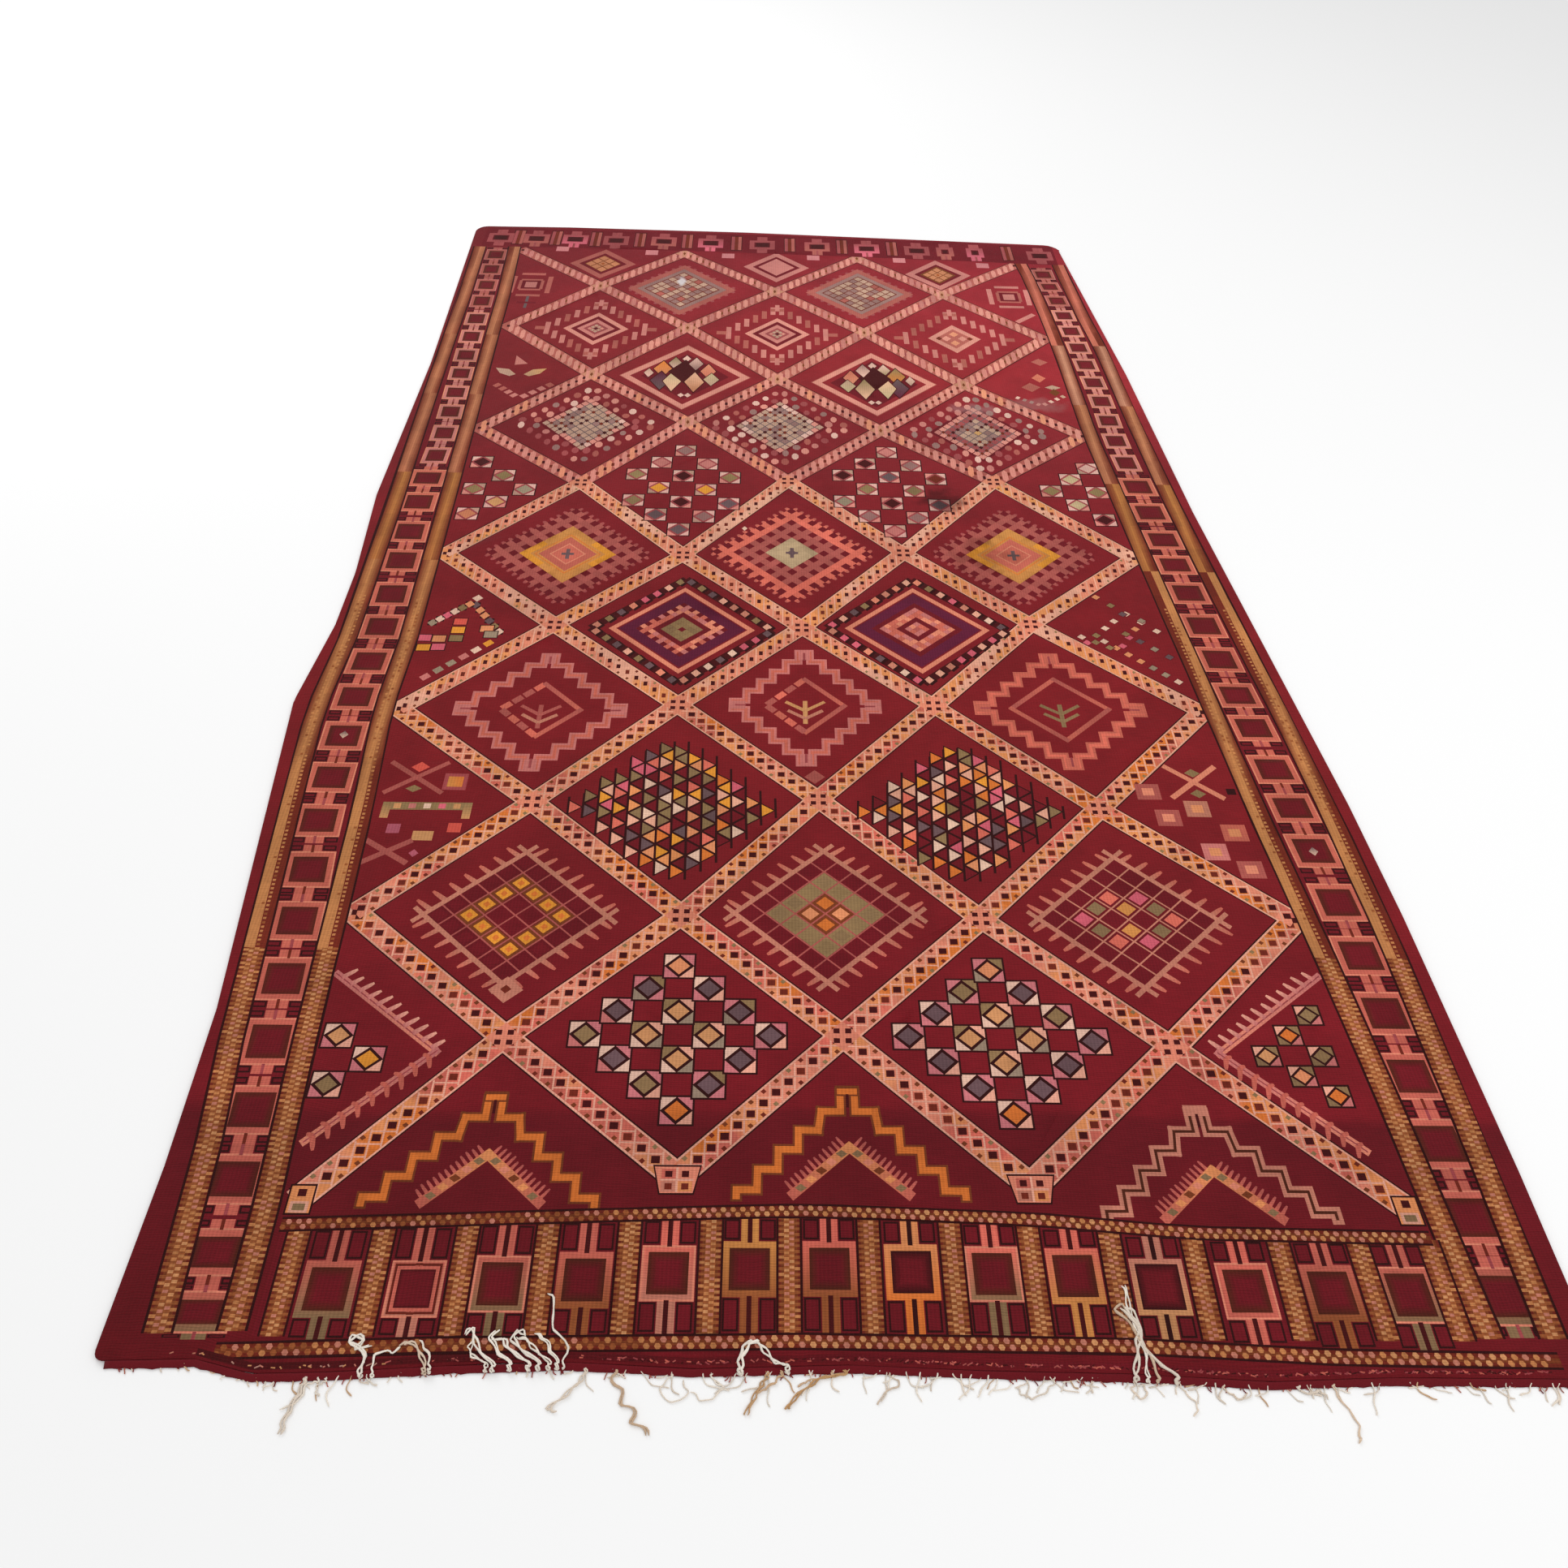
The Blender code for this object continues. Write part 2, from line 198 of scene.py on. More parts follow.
@dataclass
class Draft:
    """The weaver's draft: every patch of colour in the order in which it covers the last.

    Attributes:
        dice: Draws the small differences between lots of yarn.
        patches: The patches laid so far.
    """

    dice: random.Random = field(default_factory=lambda: random.Random(5))
    patches: list[Patch] = field(default_factory=list)

    def lay(self, corners: Corners, dye: Dye, onto: Dye | None = None,
            run: tuple[Vector, Vector] | None = None, coarse: bool = False) -> None:
        """Adds a patch over those laid before.

        Args:
            corners: Its outline, turning either way.
            dye: Its colour, or its colour at the start of the run.
            onto: The colour at the end of the run.
            run: The two points between which it shades.
            coarse: Whether the underside shows it too.
        """
        turn = sum(a.x * b.y - b.x * a.y for a, b in zip(corners, corners[1:] + corners[:1]))
        plain = dye in (Dye.GROUND, Dye.PLUM)
        lift = 1.0 if plain else 1 + self.dice.uniform(-0.09, 0.09)
        shape = corners if turn > 0 else corners[::-1]
        self.patches.append(Patch(shape, dye, onto, run, 0.0 if plain else 1.0, coarse, lift))

    def ring(self, x: float, y: float, across: float, along: float, line: float, dye: Dye,
             inside: Dye = Dye.GROUND, coarse: bool = True) -> None:
        """Lays a diamond outline.

        Args:
            x: Its middle across the cloth.
            y: Its middle along the cloth.
            across: Half its width.
            along: Half its height.
            line: Width of the line.
            dye: The line's colour.
            inside: The colour that it encloses.
            coarse: Whether the underside shows it too.
        """
        slant = math.hypot(across, along)
        self.lay(rhomb(x, y, across, along), dye, coarse=coarse)
        self.lay(rhomb(x, y, across - line * slant / along, along - line * slant / across), inside, coarse=coarse)

    def line(self, points: Sequence[Vector], width: float, dye: Dye, coarse: bool = False) -> None:
        """Lays a bent line through some points, with square corners."""
        for start, stop in zip(points, points[1:]):
            self.lay(strip(start, stop, width, width / 2), dye, coarse=coarse)

    def comb(self, start: Vector, stop: Vector, teeth: int, length: float, width: float, dye: Dye,
             turn: float = 90.0, tip: Dye | None = None) -> None:
        """Lays the teeth of a comb along one side of a line.

        Args:
            start: Where the line starts.
            stop: Where it stops, with the teeth on its left.
            teeth: How many there are.
            length: How far each stands out.
            width: Width of a tooth.
            dye: Its colour.
            turn: Angle of the teeth to the line.
            tip: The colour at a tooth's end, if it shades.
        """
        ahead = (stop - start).normalized()
        angle = math.radians(turn)
        out = Vector((ahead.x * math.cos(angle) - ahead.y * math.sin(angle),
                      ahead.x * math.sin(angle) + ahead.y * math.cos(angle)))
        for index in range(teeth):
            root = start.lerp(stop, (index + 0.5) / teeth)
            end = root + out * length * self.dice.uniform(0.85, 1.12)
            neck, side = root.lerp(end, 0.72), Vector((-out.y, out.x)) * width / 2
            self.lay([root - side * 1.2, neck - side * 0.95, end - side * 0.55, end + side * 0.55,
                      neck + side * 0.95, root + side * 1.2],
                     dye, tip, (root, end))

    def dashes(self, start: Vector, stop: Vector, count: int, share: float, width: float,
               dyes: Sequence[Dye], skip: float = 0.0) -> None:
        """Lays a row of dashes from one point to another.

        Args:
            start: Where the row starts.
            stop: Where it stops.
            count: How many dashes.
            share: Length of a dash as a share of its place.
            width: Width of a dash.
            dyes: The colours drawn from.
            skip: Chance that a dash is missing.
        """
        for index in range(count):
            if self.dice.random() < skip:
                continue
            a = start.lerp(stop, (index + 0.5 - share / 2) / count)
            b = start.lerp(stop, (index + 0.5 + share / 2) / count)
            self.lay(strip(a, b, width), self.dice.choice(dyes))


@dataclass
class Lattice:
    """The brocaded bands that cross the field and part it into diamond cells.

    Attributes:
        rows: Where the bands meet, row by row from the fringed end, with four and three places in turn.
        outline: Width of a band with its dark outline.
        edging: Width of a band.
        heart: Width of its coloured middle.
        near_step: Length of one repeat on the near rows.
        slit_row: The row from which the dark squares narrow to slits.
        rung_row: The row from which upright bars take the squares' place.
    """

    rows: tuple[tuple[tuple[float, float], ...], ...] = (
        ((-0.652, -0.226), (-0.167, -0.196), (0.303, -0.206), (0.795, -0.232)),
        ((-0.427, 0.010), (0.060, 0.017), (0.537, 0.003)),
        ((-0.693, 0.227), (-0.185, 0.227), (0.285, 0.227), (0.783, 0.230)),
        ((-0.450, 0.460), (0.035, 0.473), (0.515, 0.460)),
        ((-0.722, 0.680), (-0.218, 0.700), (0.253, 0.707), (0.750, 0.700)),
        ((-0.471, 0.920), (0.013, 0.923), (0.467, 0.943)),
        ((-0.727, 1.143), (-0.233, 1.150), (0.230, 1.170), (0.717, 1.163)),
        ((-0.475, 1.410), (-0.012, 1.429), (0.454, 1.441)),
        ((-0.738, 1.628), (-0.250, 1.669), (0.210, 1.647), (0.691, 1.638)),
        ((-0.502, 1.885), (-0.036, 1.879), (0.431, 1.866)),
        ((-0.747, 2.129), (-0.275, 2.138), (0.194, 2.129), (0.672, 2.113)),
        ((-0.529, 2.369), (-0.044, 2.357), (0.422, 2.357)),
        ((-0.776, 2.588), (-0.307, 2.585), (0.194, 2.575), (0.650, 2.550)),
    )
    outline: float = 0.0420
    edging: float = 0.0376
    heart: float = 0.0320
    near_step: float = 0.0248
    slit_row: int = 4
    rung_row: int = 7

    def bands(self) -> list[tuple[int, Vector, Vector]]:
        """Every band as its row and its two ends, the lower one first."""
        found = []
        for row, (low, high) in enumerate(zip(self.rows, self.rows[1:])):
            wide, narrow = (low, high) if len(low) > len(high) else (high, low)
            for place, knot in enumerate(narrow):
                for other in (wide[place], wide[place + 1]):
                    ends = (knot, other) if narrow is low else (other, knot)
                    found.append((row, Vector(ends[0]), Vector(ends[1])))
        return found

    def weave(self, draft: Draft) -> None:
        """Lays all bands, then the crossings over them."""
        bands = self.bands()
        for _, start, stop in bands:
            draft.lay(strip(start, stop, self.outline, 0.006), Dye.INK, coarse=True)
        for row, start, stop in bands:
            pale = Dye.SHELL if row < self.rung_row else Dye.BRICK
            draft.lay(strip(start, stop, self.edging, 0.010), pale, coarse=True)
        for row, start, stop in bands:
            if row < self.rung_row:
                self.squares(draft, row, start, stop)
            else:
                self.bars(draft, row, start, stop)
        for row, places in enumerate(self.rows):
            for x, y in places:
                self.crossing(draft, row, x, y)

    def squares(self, draft: Draft, row: int, start: Vector, stop: Vector) -> None:
        """Lays a near band's repeats: coloured blocks, pale crossed lines, a dark square and two small dots."""
        count = round((stop - start).length / self.near_step)
        step = (stop - start) / count
        side = Vector((-step.y, step.x)).normalized() * (self.heart / 4)
        near = (Dye.APRICOT, Dye.FLESH, Dye.PEACH, Dye.FLESH, Dye.ORANGE, Dye.APRICOT, Dye.SALMON, Dye.CORAL)
        upper = (Dye.FLESH, Dye.APRICOT, Dye.FLESH, Dye.SHELL)
        slim = row >= self.slit_row
        lots = upper if slim else near
        last = [draft.dice.choice(lots), draft.dice.choice(lots)]
        for index in range(count):
            middle = start + step * (index + 0.5)
            for place, way in enumerate((-1, 1)):
                dye = draft.dice.choice(lots) if draft.dice.random() < 0.6 else last[place]
                a, b = middle - step / 2 + side * way, middle + step / 2 + side * way
                draft.lay(strip(a, b, self.heart / 2), last[place], dye, (middle - step / 4, b))
                last[place] = dye
        lean = step.normalized()
        for index in range(1, count):
            joint = start + step * index
            draft.lay(box(joint.x, joint.y, 0.0026, 0.80 * self.edging / abs(lean.x)), Dye.SHELL)
            if not slim:
                draft.lay(box(joint.x, joint.y, 0.66 * self.edging / abs(lean.y), 0.0022), Dye.SHELL)
        wide, tall = (0.0074, 0.0112) if slim else (0.0118, 0.0104)
        for index in range(count):
            middle = start + step * (index + 0.5)
            dark = Dye.UMBER if draft.dice.random() < 0.35 else Dye.DARK
            draft.lay(box(middle.x, middle.y, wide, tall), dark)
            if index == count - 1:
                continue
            across = Vector((-step.y, step.x)).normalized() * (self.heart * 0.40)
            joint = middle + step / 2
            for spot in (joint + across, joint - across):
                mark = draft.dice.choice((Dye.BARK, Dye.OLIVE, Dye.UMBER, Dye.BARK, None))
                if mark:
                    draft.lay(rhomb(spot.x, spot.y, 0.0034 if slim else 0.0044, 0.0040), mark)

    def bars(self, draft: Draft, row: int, start: Vector, stop: Vector) -> None:
        """Lays a far band's repeats: upright salmon bars, with small dark holes between them on its nearer rows."""
        count = round((stop - start).length / self.near_step)
        step = (stop - start) / count
        h = 0.47 * self.edging / abs(step.normalized().x)
        for index in range(count):
            middle = start + step * (index + 0.5)
            dye = draft.dice.choice((Dye.SHRIMP, Dye.SHRIMP, Dye.SHRIMP, Dye.ROSE if row > 8 else Dye.FLESH))
            w = 0.0066 if row < 9 else 0.0062
            corners = ((-w, -h * 0.62), (0, -h), (w, -h * 0.62), (w, h * 0.62), (0, h), (-w, h * 0.62))
            draft.lay([middle + Vector(c) for c in corners], dye)
        for index in range(1, count):
            joint = start + step * index
            if row < 9:
                draft.lay(box(joint.x, joint.y, 0.0068, 0.0115), draft.dice.choice((Dye.DARK, Dye.UMBER, Dye.DARK)))
            elif draft.dice.random() < 0.6:
                draft.lay(rhomb(joint.x, joint.y, 0.0030, 0.0120), draft.dice.choice((Dye.DUSK, Dye.BARK)))

    def crossing(self, draft: Draft, row: int, x: float, y: float) -> None:
        """Lays the small four-square block where bands meet, or the foot that ends the first row."""
        if row == 0:
            outer = abs(x) > 0.6
            y -= 0.004
            if outer:
                draft.lay(box(x, y, 0.035, 0.041), Dye.INK, coarse=True)
                draft.lay(box(x, y, 0.030, 0.036), Dye.APRICOT, coarse=True)
                draft.lay(box(x, y - 0.010, 0.024, 0.015), Dye.SHELL)
                draft.lay(box(x, y - 0.010, 0.016, 0.009), Dye.MOSS)
                draft.lay(box(x, y + 0.009, 0.011, 0.010), Dye.DARK)
                return
            for grow, dye in ((0.0025, Dye.INK), (0.0, Dye.FLESH)):
                w, h = 0.030 + grow, 0.018 + grow
                draft.lay([Vector((x - w, y + h)), Vector((x - w * 0.72, y - h)), Vector((x + w * 0.72, y - h)),
                           Vector((x + w, y + h))],
                          dye, coarse=True)
            for place, low, high in ((-0.011, Dye.SAND, Dye.CORAL), (0.011, Dye.APRICOT, Dye.FLESH)):
                draft.lay(box(x + place, y - 0.009, 0.019, 0.014), low)
                draft.lay(box(x + place, y + 0.008, 0.019, 0.014), high)
                for up in (-0.009, 0.008):
                    draft.lay(box(x + place, y + up, 0.0095, 0.0085), Dye.UMBER if up < 0 else Dye.DARK)
            draft.lay(box(x, y, 0.0030, 0.034), Dye.SHELL)
            draft.lay(box(x, y, 0.044, 0.0026), Dye.SHELL)
            return
        far, edge = row > self.rung_row, len(self.rows[row]) == 4 and abs(x) > 0.6
        if edge:
            draft.lay(box(x, y, 0.008, 0.010), Dye.DARK)
            return
        draft.lay(rhomb(x, y, 0.026, 0.024), Dye.SAND if far else Dye.FLESH)
        if far:
            for across in (-0.010, 0.010):
                draft.lay(box(x + across, y, 0.0075, 0.030), Dye.SHRIMP)
            draft.lay(rhomb(x, y, 0.0040, 0.0100), Dye.BARK)
            return
        size = 0.0090
        for across in (-1, 1):
            for along in (-1, 1):
                draft.lay(box(x + across * 0.0085, y + along * 0.0080, size, size * 0.9), Dye.DARK)


@dataclass
class RingChart:
    """A diamond of small lozenges, charted ring by ring from its middle.

    Attributes:
        x: Its middle across the cloth.
        y: Its middle along the cloth.
        across: Sideways step from one lozenge to the next.
        along: Lengthways step.
        rings: The dyes of each ring from the middle outwards. Two dyes are for the ends and for the sides of the
            ring, more are drawn from, and None leaves the ring out.
        even: Whether the middle is four lozenges, not one.
        fill: Size of a lozenge as a share of its place.
        holed: First ring in which every second lozenge of every second row is left out.
    """

    x: float
    y: float
    across: float
    along: float
    rings: Sequence[Sequence[Dye] | None]
    even: bool = False
    fill: float = 0.84
    holed: int = 99

    def spot(self, i: float, j: float) -> Vector:
        """The place of chart cell i, j on the plan."""
        return Vector((self.x + (i - j) * self.across, self.y + (i + j) * self.along))

    def weave(self, draft: Draft) -> None:
        """Lays every lozenge of the chart."""
        start = 0.5 if self.even else 0.0
        places = [sign * (n + start) for n in range(len(self.rings)) for sign in (-1, 1)]
        for i in sorted(set(places)):
            for j in sorted(set(places)):
                ring = int(max(abs(i), abs(j)))
                dyes = self.rings[ring]
                if dyes is None or (ring >= self.holed and i % 2 == 1 and j % 2 == 1):
                    continue
                if len(dyes) == 2:
                    dye = dyes[1] if abs(i - j) > abs(i + j) else dyes[0]
                else:
                    dye = draft.dice.choice(dyes)
                spot = self.spot(i, j)
                draft.lay(rhomb(spot.x, spot.y, self.across * self.fill, self.along * self.fill), dye)

    def mesh_lines(self, draft: Draft, reach: int, width: float, dye: Dye) -> None:
        """Lays thin crossed lines between the lozenges, out to a number of steps from the middle."""
        for n in range(-reach, reach + 1):
            draft.lay(strip(self.spot(n, -reach), self.spot(n, reach), width), dye)
            draft.lay(strip(self.spot(-reach, n), self.spot(reach, n), width), dye)


def diamond_sides(x: float, y: float, across: float, along: float) -> list[tuple[Vector, Vector]]:
    """The four sides of a diamond, each as two points with its outside on the left."""
    tips = rhomb(x, y, across, along)[::-1]
    return list(zip(tips, tips[1:] + tips[:1]))


@dataclass
class StarSquare:
    """A square with a diamond at its heart and a triangle in each corner, all parted by dark lines.

    Attributes:
        width: Its width.
        height: Its height.
        line: Width of the dark lines.
        seam: Dye between the heart and the corners.
    """

    width: float = 0.044
    height: float = 0.040
    line: float = 0.0030
    seam: Dye = Dye.INK

    def weave(self, draft: Draft, x: float, y: float, corners: Sequence[Dye], heart: Dye) -> None:
        """Lays one square.

        Args:
            draft: The weaver's draft.
            x: Its middle across the cloth.
            y: Its middle along the cloth.
            corners: The dyes of its corners, from the far left one round by the far right.
            heart: The dye of its diamond.
        """
        draft.lay(box(x, y, self.width + 2 * self.line, self.height + 2 * self.line), Dye.INK, coarse=True)
        reach, size = (0.04, 0.37) if self.seam is Dye.INK else (0.14, 0.42)
        if self.seam is not Dye.INK:
            draft.lay(box(x, y, self.width, self.height), self.seam)
        for (sx, sy), dye in zip(((-1, 1), (1, 1), (1, -1), (-1, -1)), corners):
            w, h = sx * self.width / 2, sy * self.height / 2
            draft.lay([Vector((x + w, y + h)), Vector((x + w * reach, y + h)), Vector((x + w, y + h * reach))], dye)
        draft.lay(rhomb(x, y, self.width * size, self.height * size), heart, coarse=True)


def step_path(x: float, y: float, across: float, along: float, steps: int, tab: float) -> Corners:
    """A closed stepped diamond outline with a small tab at each tip.

    Args:
        x: Its middle across the cloth.
        y: Its middle along the cloth.
        across: Half its width.
        along: Half its height.
        steps: Steps on each side.
        tab: Half the width of a tab.

    Returns:
        The corners of the line, closed.
    """
    quarter = []
    for n in range(steps + 1):
        share = n / steps
        px = tab + (across - tab) * share
        py = along + (tab - along) * share
        quarter.append((px, py))
        if n < steps:
            quarter.append((px, along + (tab - along) * (n + 1) / steps))
    ring = [(px, py) for px, py in quarter]
    ring += [(px, -py) for px, py in reversed(quarter)]
    ring += [(-px, -py) for px, py in quarter]
    ring += [(-px, py) for px, py in reversed(quarter)]
    return [Vector((x + px, y + py)) for px, py in ring + ring[:1]]


@dataclass
class NearMotifs:
    """The motifs of the rows nearest the fringe, up to the second full row of cells."""

    def weave(self, draft: Draft) -> None:
        """Lays all of them."""
        self.chevrons(draft)
        self.comb_diamonds(draft)
        self.star_diamonds(draft)
        self.star_halves(draft)
        self.mosaics(draft)
        self.mosaic_halves(draft)
        self.plants(draft)

    def chevrons(self, draft: Draft) -> None:
        """The stepped chevrons of the first half cells, with a combed chevron inside each."""
        for x, y, outer, inner in ((-0.423, -0.080, Dye.BARK, Dye.ORANGE), (0.063, -0.067, Dye.BARK, Dye.ORANGE),
                                   (0.547, -0.093, Dye.SAND, Dye.BROWN)):
            for way in (-1, 1):
                steps = [Vector((x + way * 0.010, y - 0.006))]
                for n in range(5):
                    side = 0.010 + 0.0275 * n + (0.004 if n else 0)
                    low = -0.006 - 0.028 * (n + 1)
                    steps += [Vector((x + way * side, y + low)), Vector((x + way * (side + 0.027), y + low))]
                steps.append(steps[-1] + Vector((0, -0.008)))
                draft.line(steps, 0.0155, outer, coarse=True)
                draft.line(steps, 0.0040 if outer is Dye.SAND else 0.0095, inner)
            draft.lay(box(x, y - 0.003, 0.034, 0.016), outer)
            draft.lay(box(x, y - 0.004, 0.028, 0.009), Dye.SAND if outer is Dye.SAND else inner)
            draft.lay(box(x, y - 0.018, 0.004, 0.020), Dye.DARK)
        for x, y in ((-0.420, -0.167), (0.063, -0.153), (0.549, -0.183)):
            for way in (-1, 1):
                top, foot = Vector((x, y)), Vector((x + way * 0.077, y - 0.066))
                draft.lay(strip(top, foot, 0.0135, 0.005), Dye.CORAL, Dye.APRICOT, (foot, top), coarse=True)
                for n, dye in enumerate((Dye.MOSS, Dye.FLESH, Dye.BARK, Dye.APRICOT, Dye.MOSS)):
                    spot = top.lerp(foot, 0.14 + 0.18 * n)
                    draft.lay(rhomb(spot.x, spot.y, 0.008, 0.0055), dye)
                pair = (top, foot) if way < 0 else (foot, top)
                out = Vector((way * 0.65, 0.76)) * 0.008
                draft.comb(pair[1] + out * 0.8, pair[0] + out * 0.8, 12, 0.0145, 0.0040, Dye.CORAL, 90, Dye.BRICK)

    def comb_diamonds(self, draft: Draft) -> None:
        """The three diamonds with combed edges and a small grid of coloured lozenges."""
        dark = (Dye.WINE,)
        green = (Dye.MOSS, Dye.OLIVE, Dye.MOSS)
        plans = ((-0.443, 0.224, (dark, (Dye.AMBER,), dark), Dye.HONEY),
                 (0.041, 0.233, ((Dye.ORANGE, Dye.PEACH), green, dark), None),
                 (0.519, 0.228, (dark, dark, dark), None))
        for x, y, rings, heart in plans:
            across, along = 0.0238, 0.0210
            draft.lay(rhomb(x, y, 6 * across, 6 * along), Dye.WINE, coarse=True)
            grid = RingChart(x, y, across, along, rings, even=True, fill=0.60 if x < 0.4 else 0.85)
            if x < -0.4:
                draft.ring(x, y, 3.9 * across, 3.9 * along, 0.027, Dye.BARK, Dye.WINE)
            elif x < 0.4:
                draft.lay(rhomb(x, y, 3.9 * across, 3.9 * along), Dye.OLIVE, coarse=True)
                draft.lay(rhomb(x, y, 2 * across, 2 * along), Dye.BARK)
            grid.mesh_lines(draft, 3, 0.0026, Dye.BRICK if x < 0.4 else Dye.SAND)
            grid.weave(draft)
            if heart:
                for i, j in ((i, j) for i in range(-2, 2) for j in range(-2, 2) if not (-2 < i < 1 and -2 < j < 1)):
                    spot = grid.spot(i + 0.5, j + 0.5)
                    draft.lay(rhomb(spot.x, spot.y, 0.006, 0.006), Dye.ORANGE)
            if x > 0.4:
                chart = ((0, 1, Dye.HONEY), (-1, 2, Dye.SALMON), (1, 2, Dye.PINK), (-2, 1, Dye.MOSS),
                         (2, 1, Dye.MOSS), (-3, 0, Dye.PINK),
                         (3, 0, Dye.SALMON), (0, -1, Dye.HONEY), (-1, -2, Dye.SALMON), (1, -2, Dye.PINK),
                         (-2, -1, Dye.MOSS), (2, -1, Dye.MOSS))
                for right, up, dye in chart:
                    draft.lay(rhomb(x + right * across, y + up * along, 0.0160, 0.0140), dye, coarse=True)
            sides = diamond_sides(x, y, 6 * across, 6 * along)
            for (start, stop), turn in zip(sides, (102, 77, 102, 77)):
                draft.comb(start, stop, 7, 0.028, 0.0076, Dye.SAND, turn, Dye.CORAL)
            for start, stop in sides:
                draft.lay(strip(start, stop, 0.0078, 0.021), Dye.SAND, coarse=True)
        draft.lay(rhomb(-0.437, 0.089, 0.026, 0.023), Dye.SAND, coarse=True)
        draft.lay(rhomb(-0.437, 0.090, 0.0085, 0.0075), Dye.UMBER)

    def star_diamonds(self, draft: Draft) -> None:
        """The two cells filled with star squares in rows of one, two, three, four and back."""
        star = StarSquare()
        edges = ((Dye.CREAM, Dye.BLOSSOM, Dye.SHELL, Dye.BLOSSOM), (Dye.BLOSSOM, Dye.OLIVE, Dye.BLOSSOM, Dye.SAGE),
                 (Dye.CREAM, Dye.BLOSSOM, Dye.CREAM, Dye.ROSE))
        warm = (Dye.OLIVE, Dye.SHELL, Dye.SAGE, Dye.CREAM)
        for x, y, lean in ((-0.178, 0.016, 0.0), (0.290, 0.014, 0.02)):
            for row in range(-3, 4):
                count = 4 - abs(row)
                for n in range(count):
                    place = 2 * n - count + 1
                    inner = abs(row) + abs(place) <= 2
                    heart = Dye.TAN if inner else draft.dice.choice((Dye.SLATE, Dye.SLATE, Dye.SLATE, Dye.OLIVE))
                    if row == 3:
                        heart = Dye.PEACH
                    if row == -3:
                        heart = Dye.ORANGE
                    py = y + row * 0.0392 - place * 0.0447 * lean
                    edge = warm if inner else draft.dice.choice(edges)
                    star.weave(draft, x + place * 0.0447 - row * 0.0015, py, edge, heart)

    def star_halves(self, draft: Draft) -> None:
        """The half cells beside them: a combed chevron lying on its side, and a few star squares."""
        wings = (((-0.690, 0.113), (-0.520, -0.014), (-0.668, -0.150)),
                 ((0.787, 0.125), (0.603, -0.007), (0.767, -0.153)))
        for top, tip, foot in wings:
            a, b, c = Vector(top), Vector(tip), Vector(foot)
            for start, stop in ((a, b), (b, c)):
                draft.lay(strip(start, stop, 0.0110, 0.006), Dye.ROSE, Dye.FLESH, (start, stop), coarse=True)
                draft.lay(strip(start, stop, 0.0020, 0.003), Dye.DUSK)
            if b.x < 0:
                draft.comb(a, b, 11, 0.024, 0.0068, Dye.ROSE, 72, Dye.SHELL)
                draft.comb(b, c, 9, 0.020, 0.0068, Dye.CORAL, 62)
                draft.comb(c, b, 9, 0.010, 0.0060, Dye.CORAL, 118)
            else:
                draft.comb(b, a, 12, 0.023, 0.0068, Dye.ROSE, 104, Dye.SHELL)
                draft.comb(c, b, 10, 0.020, 0.0068, Dye.CORAL, 118)
                draft.comb(b, c, 10, 0.009, 0.0060, Dye.CORAL, 62)
        star = StarSquare(0.042, 0.037)
        edge = (Dye.CREAM, Dye.BLOSSOM, Dye.SHELL, Dye.BLOSSOM)
        for x, y, heart in ((-0.663, 0.010, Dye.TAN), (-0.613, -0.027, Dye.AMBER), (-0.661, -0.067, Dye.OLIVE)):
            star.weave(draft, x, y, edge, heart)
        star = StarSquare(0.034, 0.030)
        mixed = (Dye.SHELL, Dye.OLIVE, Dye.ROSE, Dye.MOSS)
        for x, y in ((0.752, 0.058), (0.713, 0.024), (0.672, -0.010), (0.752, -0.010), (0.714, -0.042),
                     (0.755, -0.073)):
            star.weave(draft, x, y, mixed, draft.dice.choice((Dye.PEACH, Dye.TAN, Dye.OLIVE, Dye.ORANGE)))

    def mosaics(self, draft: Draft) -> None:
        """The two cells of triangles, stacked in dark-lined columns."""
        for x, y, lean in ((-0.213, 0.452, -0.03), (0.277, 0.450, 0.06)):
            self.mosaic(draft, x, y, 0.176, 0.166, 0.0250, lean, 0.30)

    def mosaic(self, draft: Draft, x: float, y: float, across: float, along: float, column: float, lean: float,
               bare: float) -> None:
        """Lays one diamond of stacked triangles.

        Args:
            draft: The weaver's draft.
            x: Its middle across the cloth.
            y: Its middle along the cloth.
            across: Half its width.
            along: Half its height.
            column: Width of a column.
            lean: Sideways lean of the columns.
            bare: Share of the triangles left in the ground's colour.
        """
        dyes = (Dye.SHELL, Dye.PEACH, Dye.CREAM, Dye.SHELL, Dye.MOSS, Dye.OLIVE, Dye.PINK, Dye.SALMON,
                Dye.APRICOT, Dye.ORANGE,
                Dye.AMBER, Dye.SLATE)
        count = round(2 * across / column)
        for n in range(count):
            left = (n - count / 2) * column
            share = abs(left + column / 2) / across
            room = along * (1 - share ** 1.12)
            tall = column * 1.34
            levels = max(1, round(2 * room / tall))
            base = -levels * tall / 2 + draft.dice.uniform(-0.2, 0.2) * tall
            for edge in (left, left + column):
                foot, head = Vector((x + edge + lean * base, y + base)), Vector((x + edge - lean * base, y - base))
                draft.lay(strip(foot, head, 0.0042), Dye.INK)
            for k in range(2 * levels - 1):
                low = base + k * tall / 2
                near_edge, tip = (left + column, left) if k % 2 else (left, left + column)
                shape = [Vector((near_edge, low)), Vector((near_edge, low + tall)), Vector((tip, low + tall / 2))]
                shape = [Vector((x + p.x + lean * p.y, y + p.y)) for p in shape]
                heart = sum(shape, Vector((0, 0))) / 3
                draft.lay([heart + (p - heart) * 1.02 for p in shape], Dye.INK)
                dye = Dye.WINE if draft.dice.random() < (0.62 if k % 2 else bare * 0.35) else draft.dice.choice(dyes)
                draft.lay([heart + (p - heart) * 0.78 for p in shape], dye)

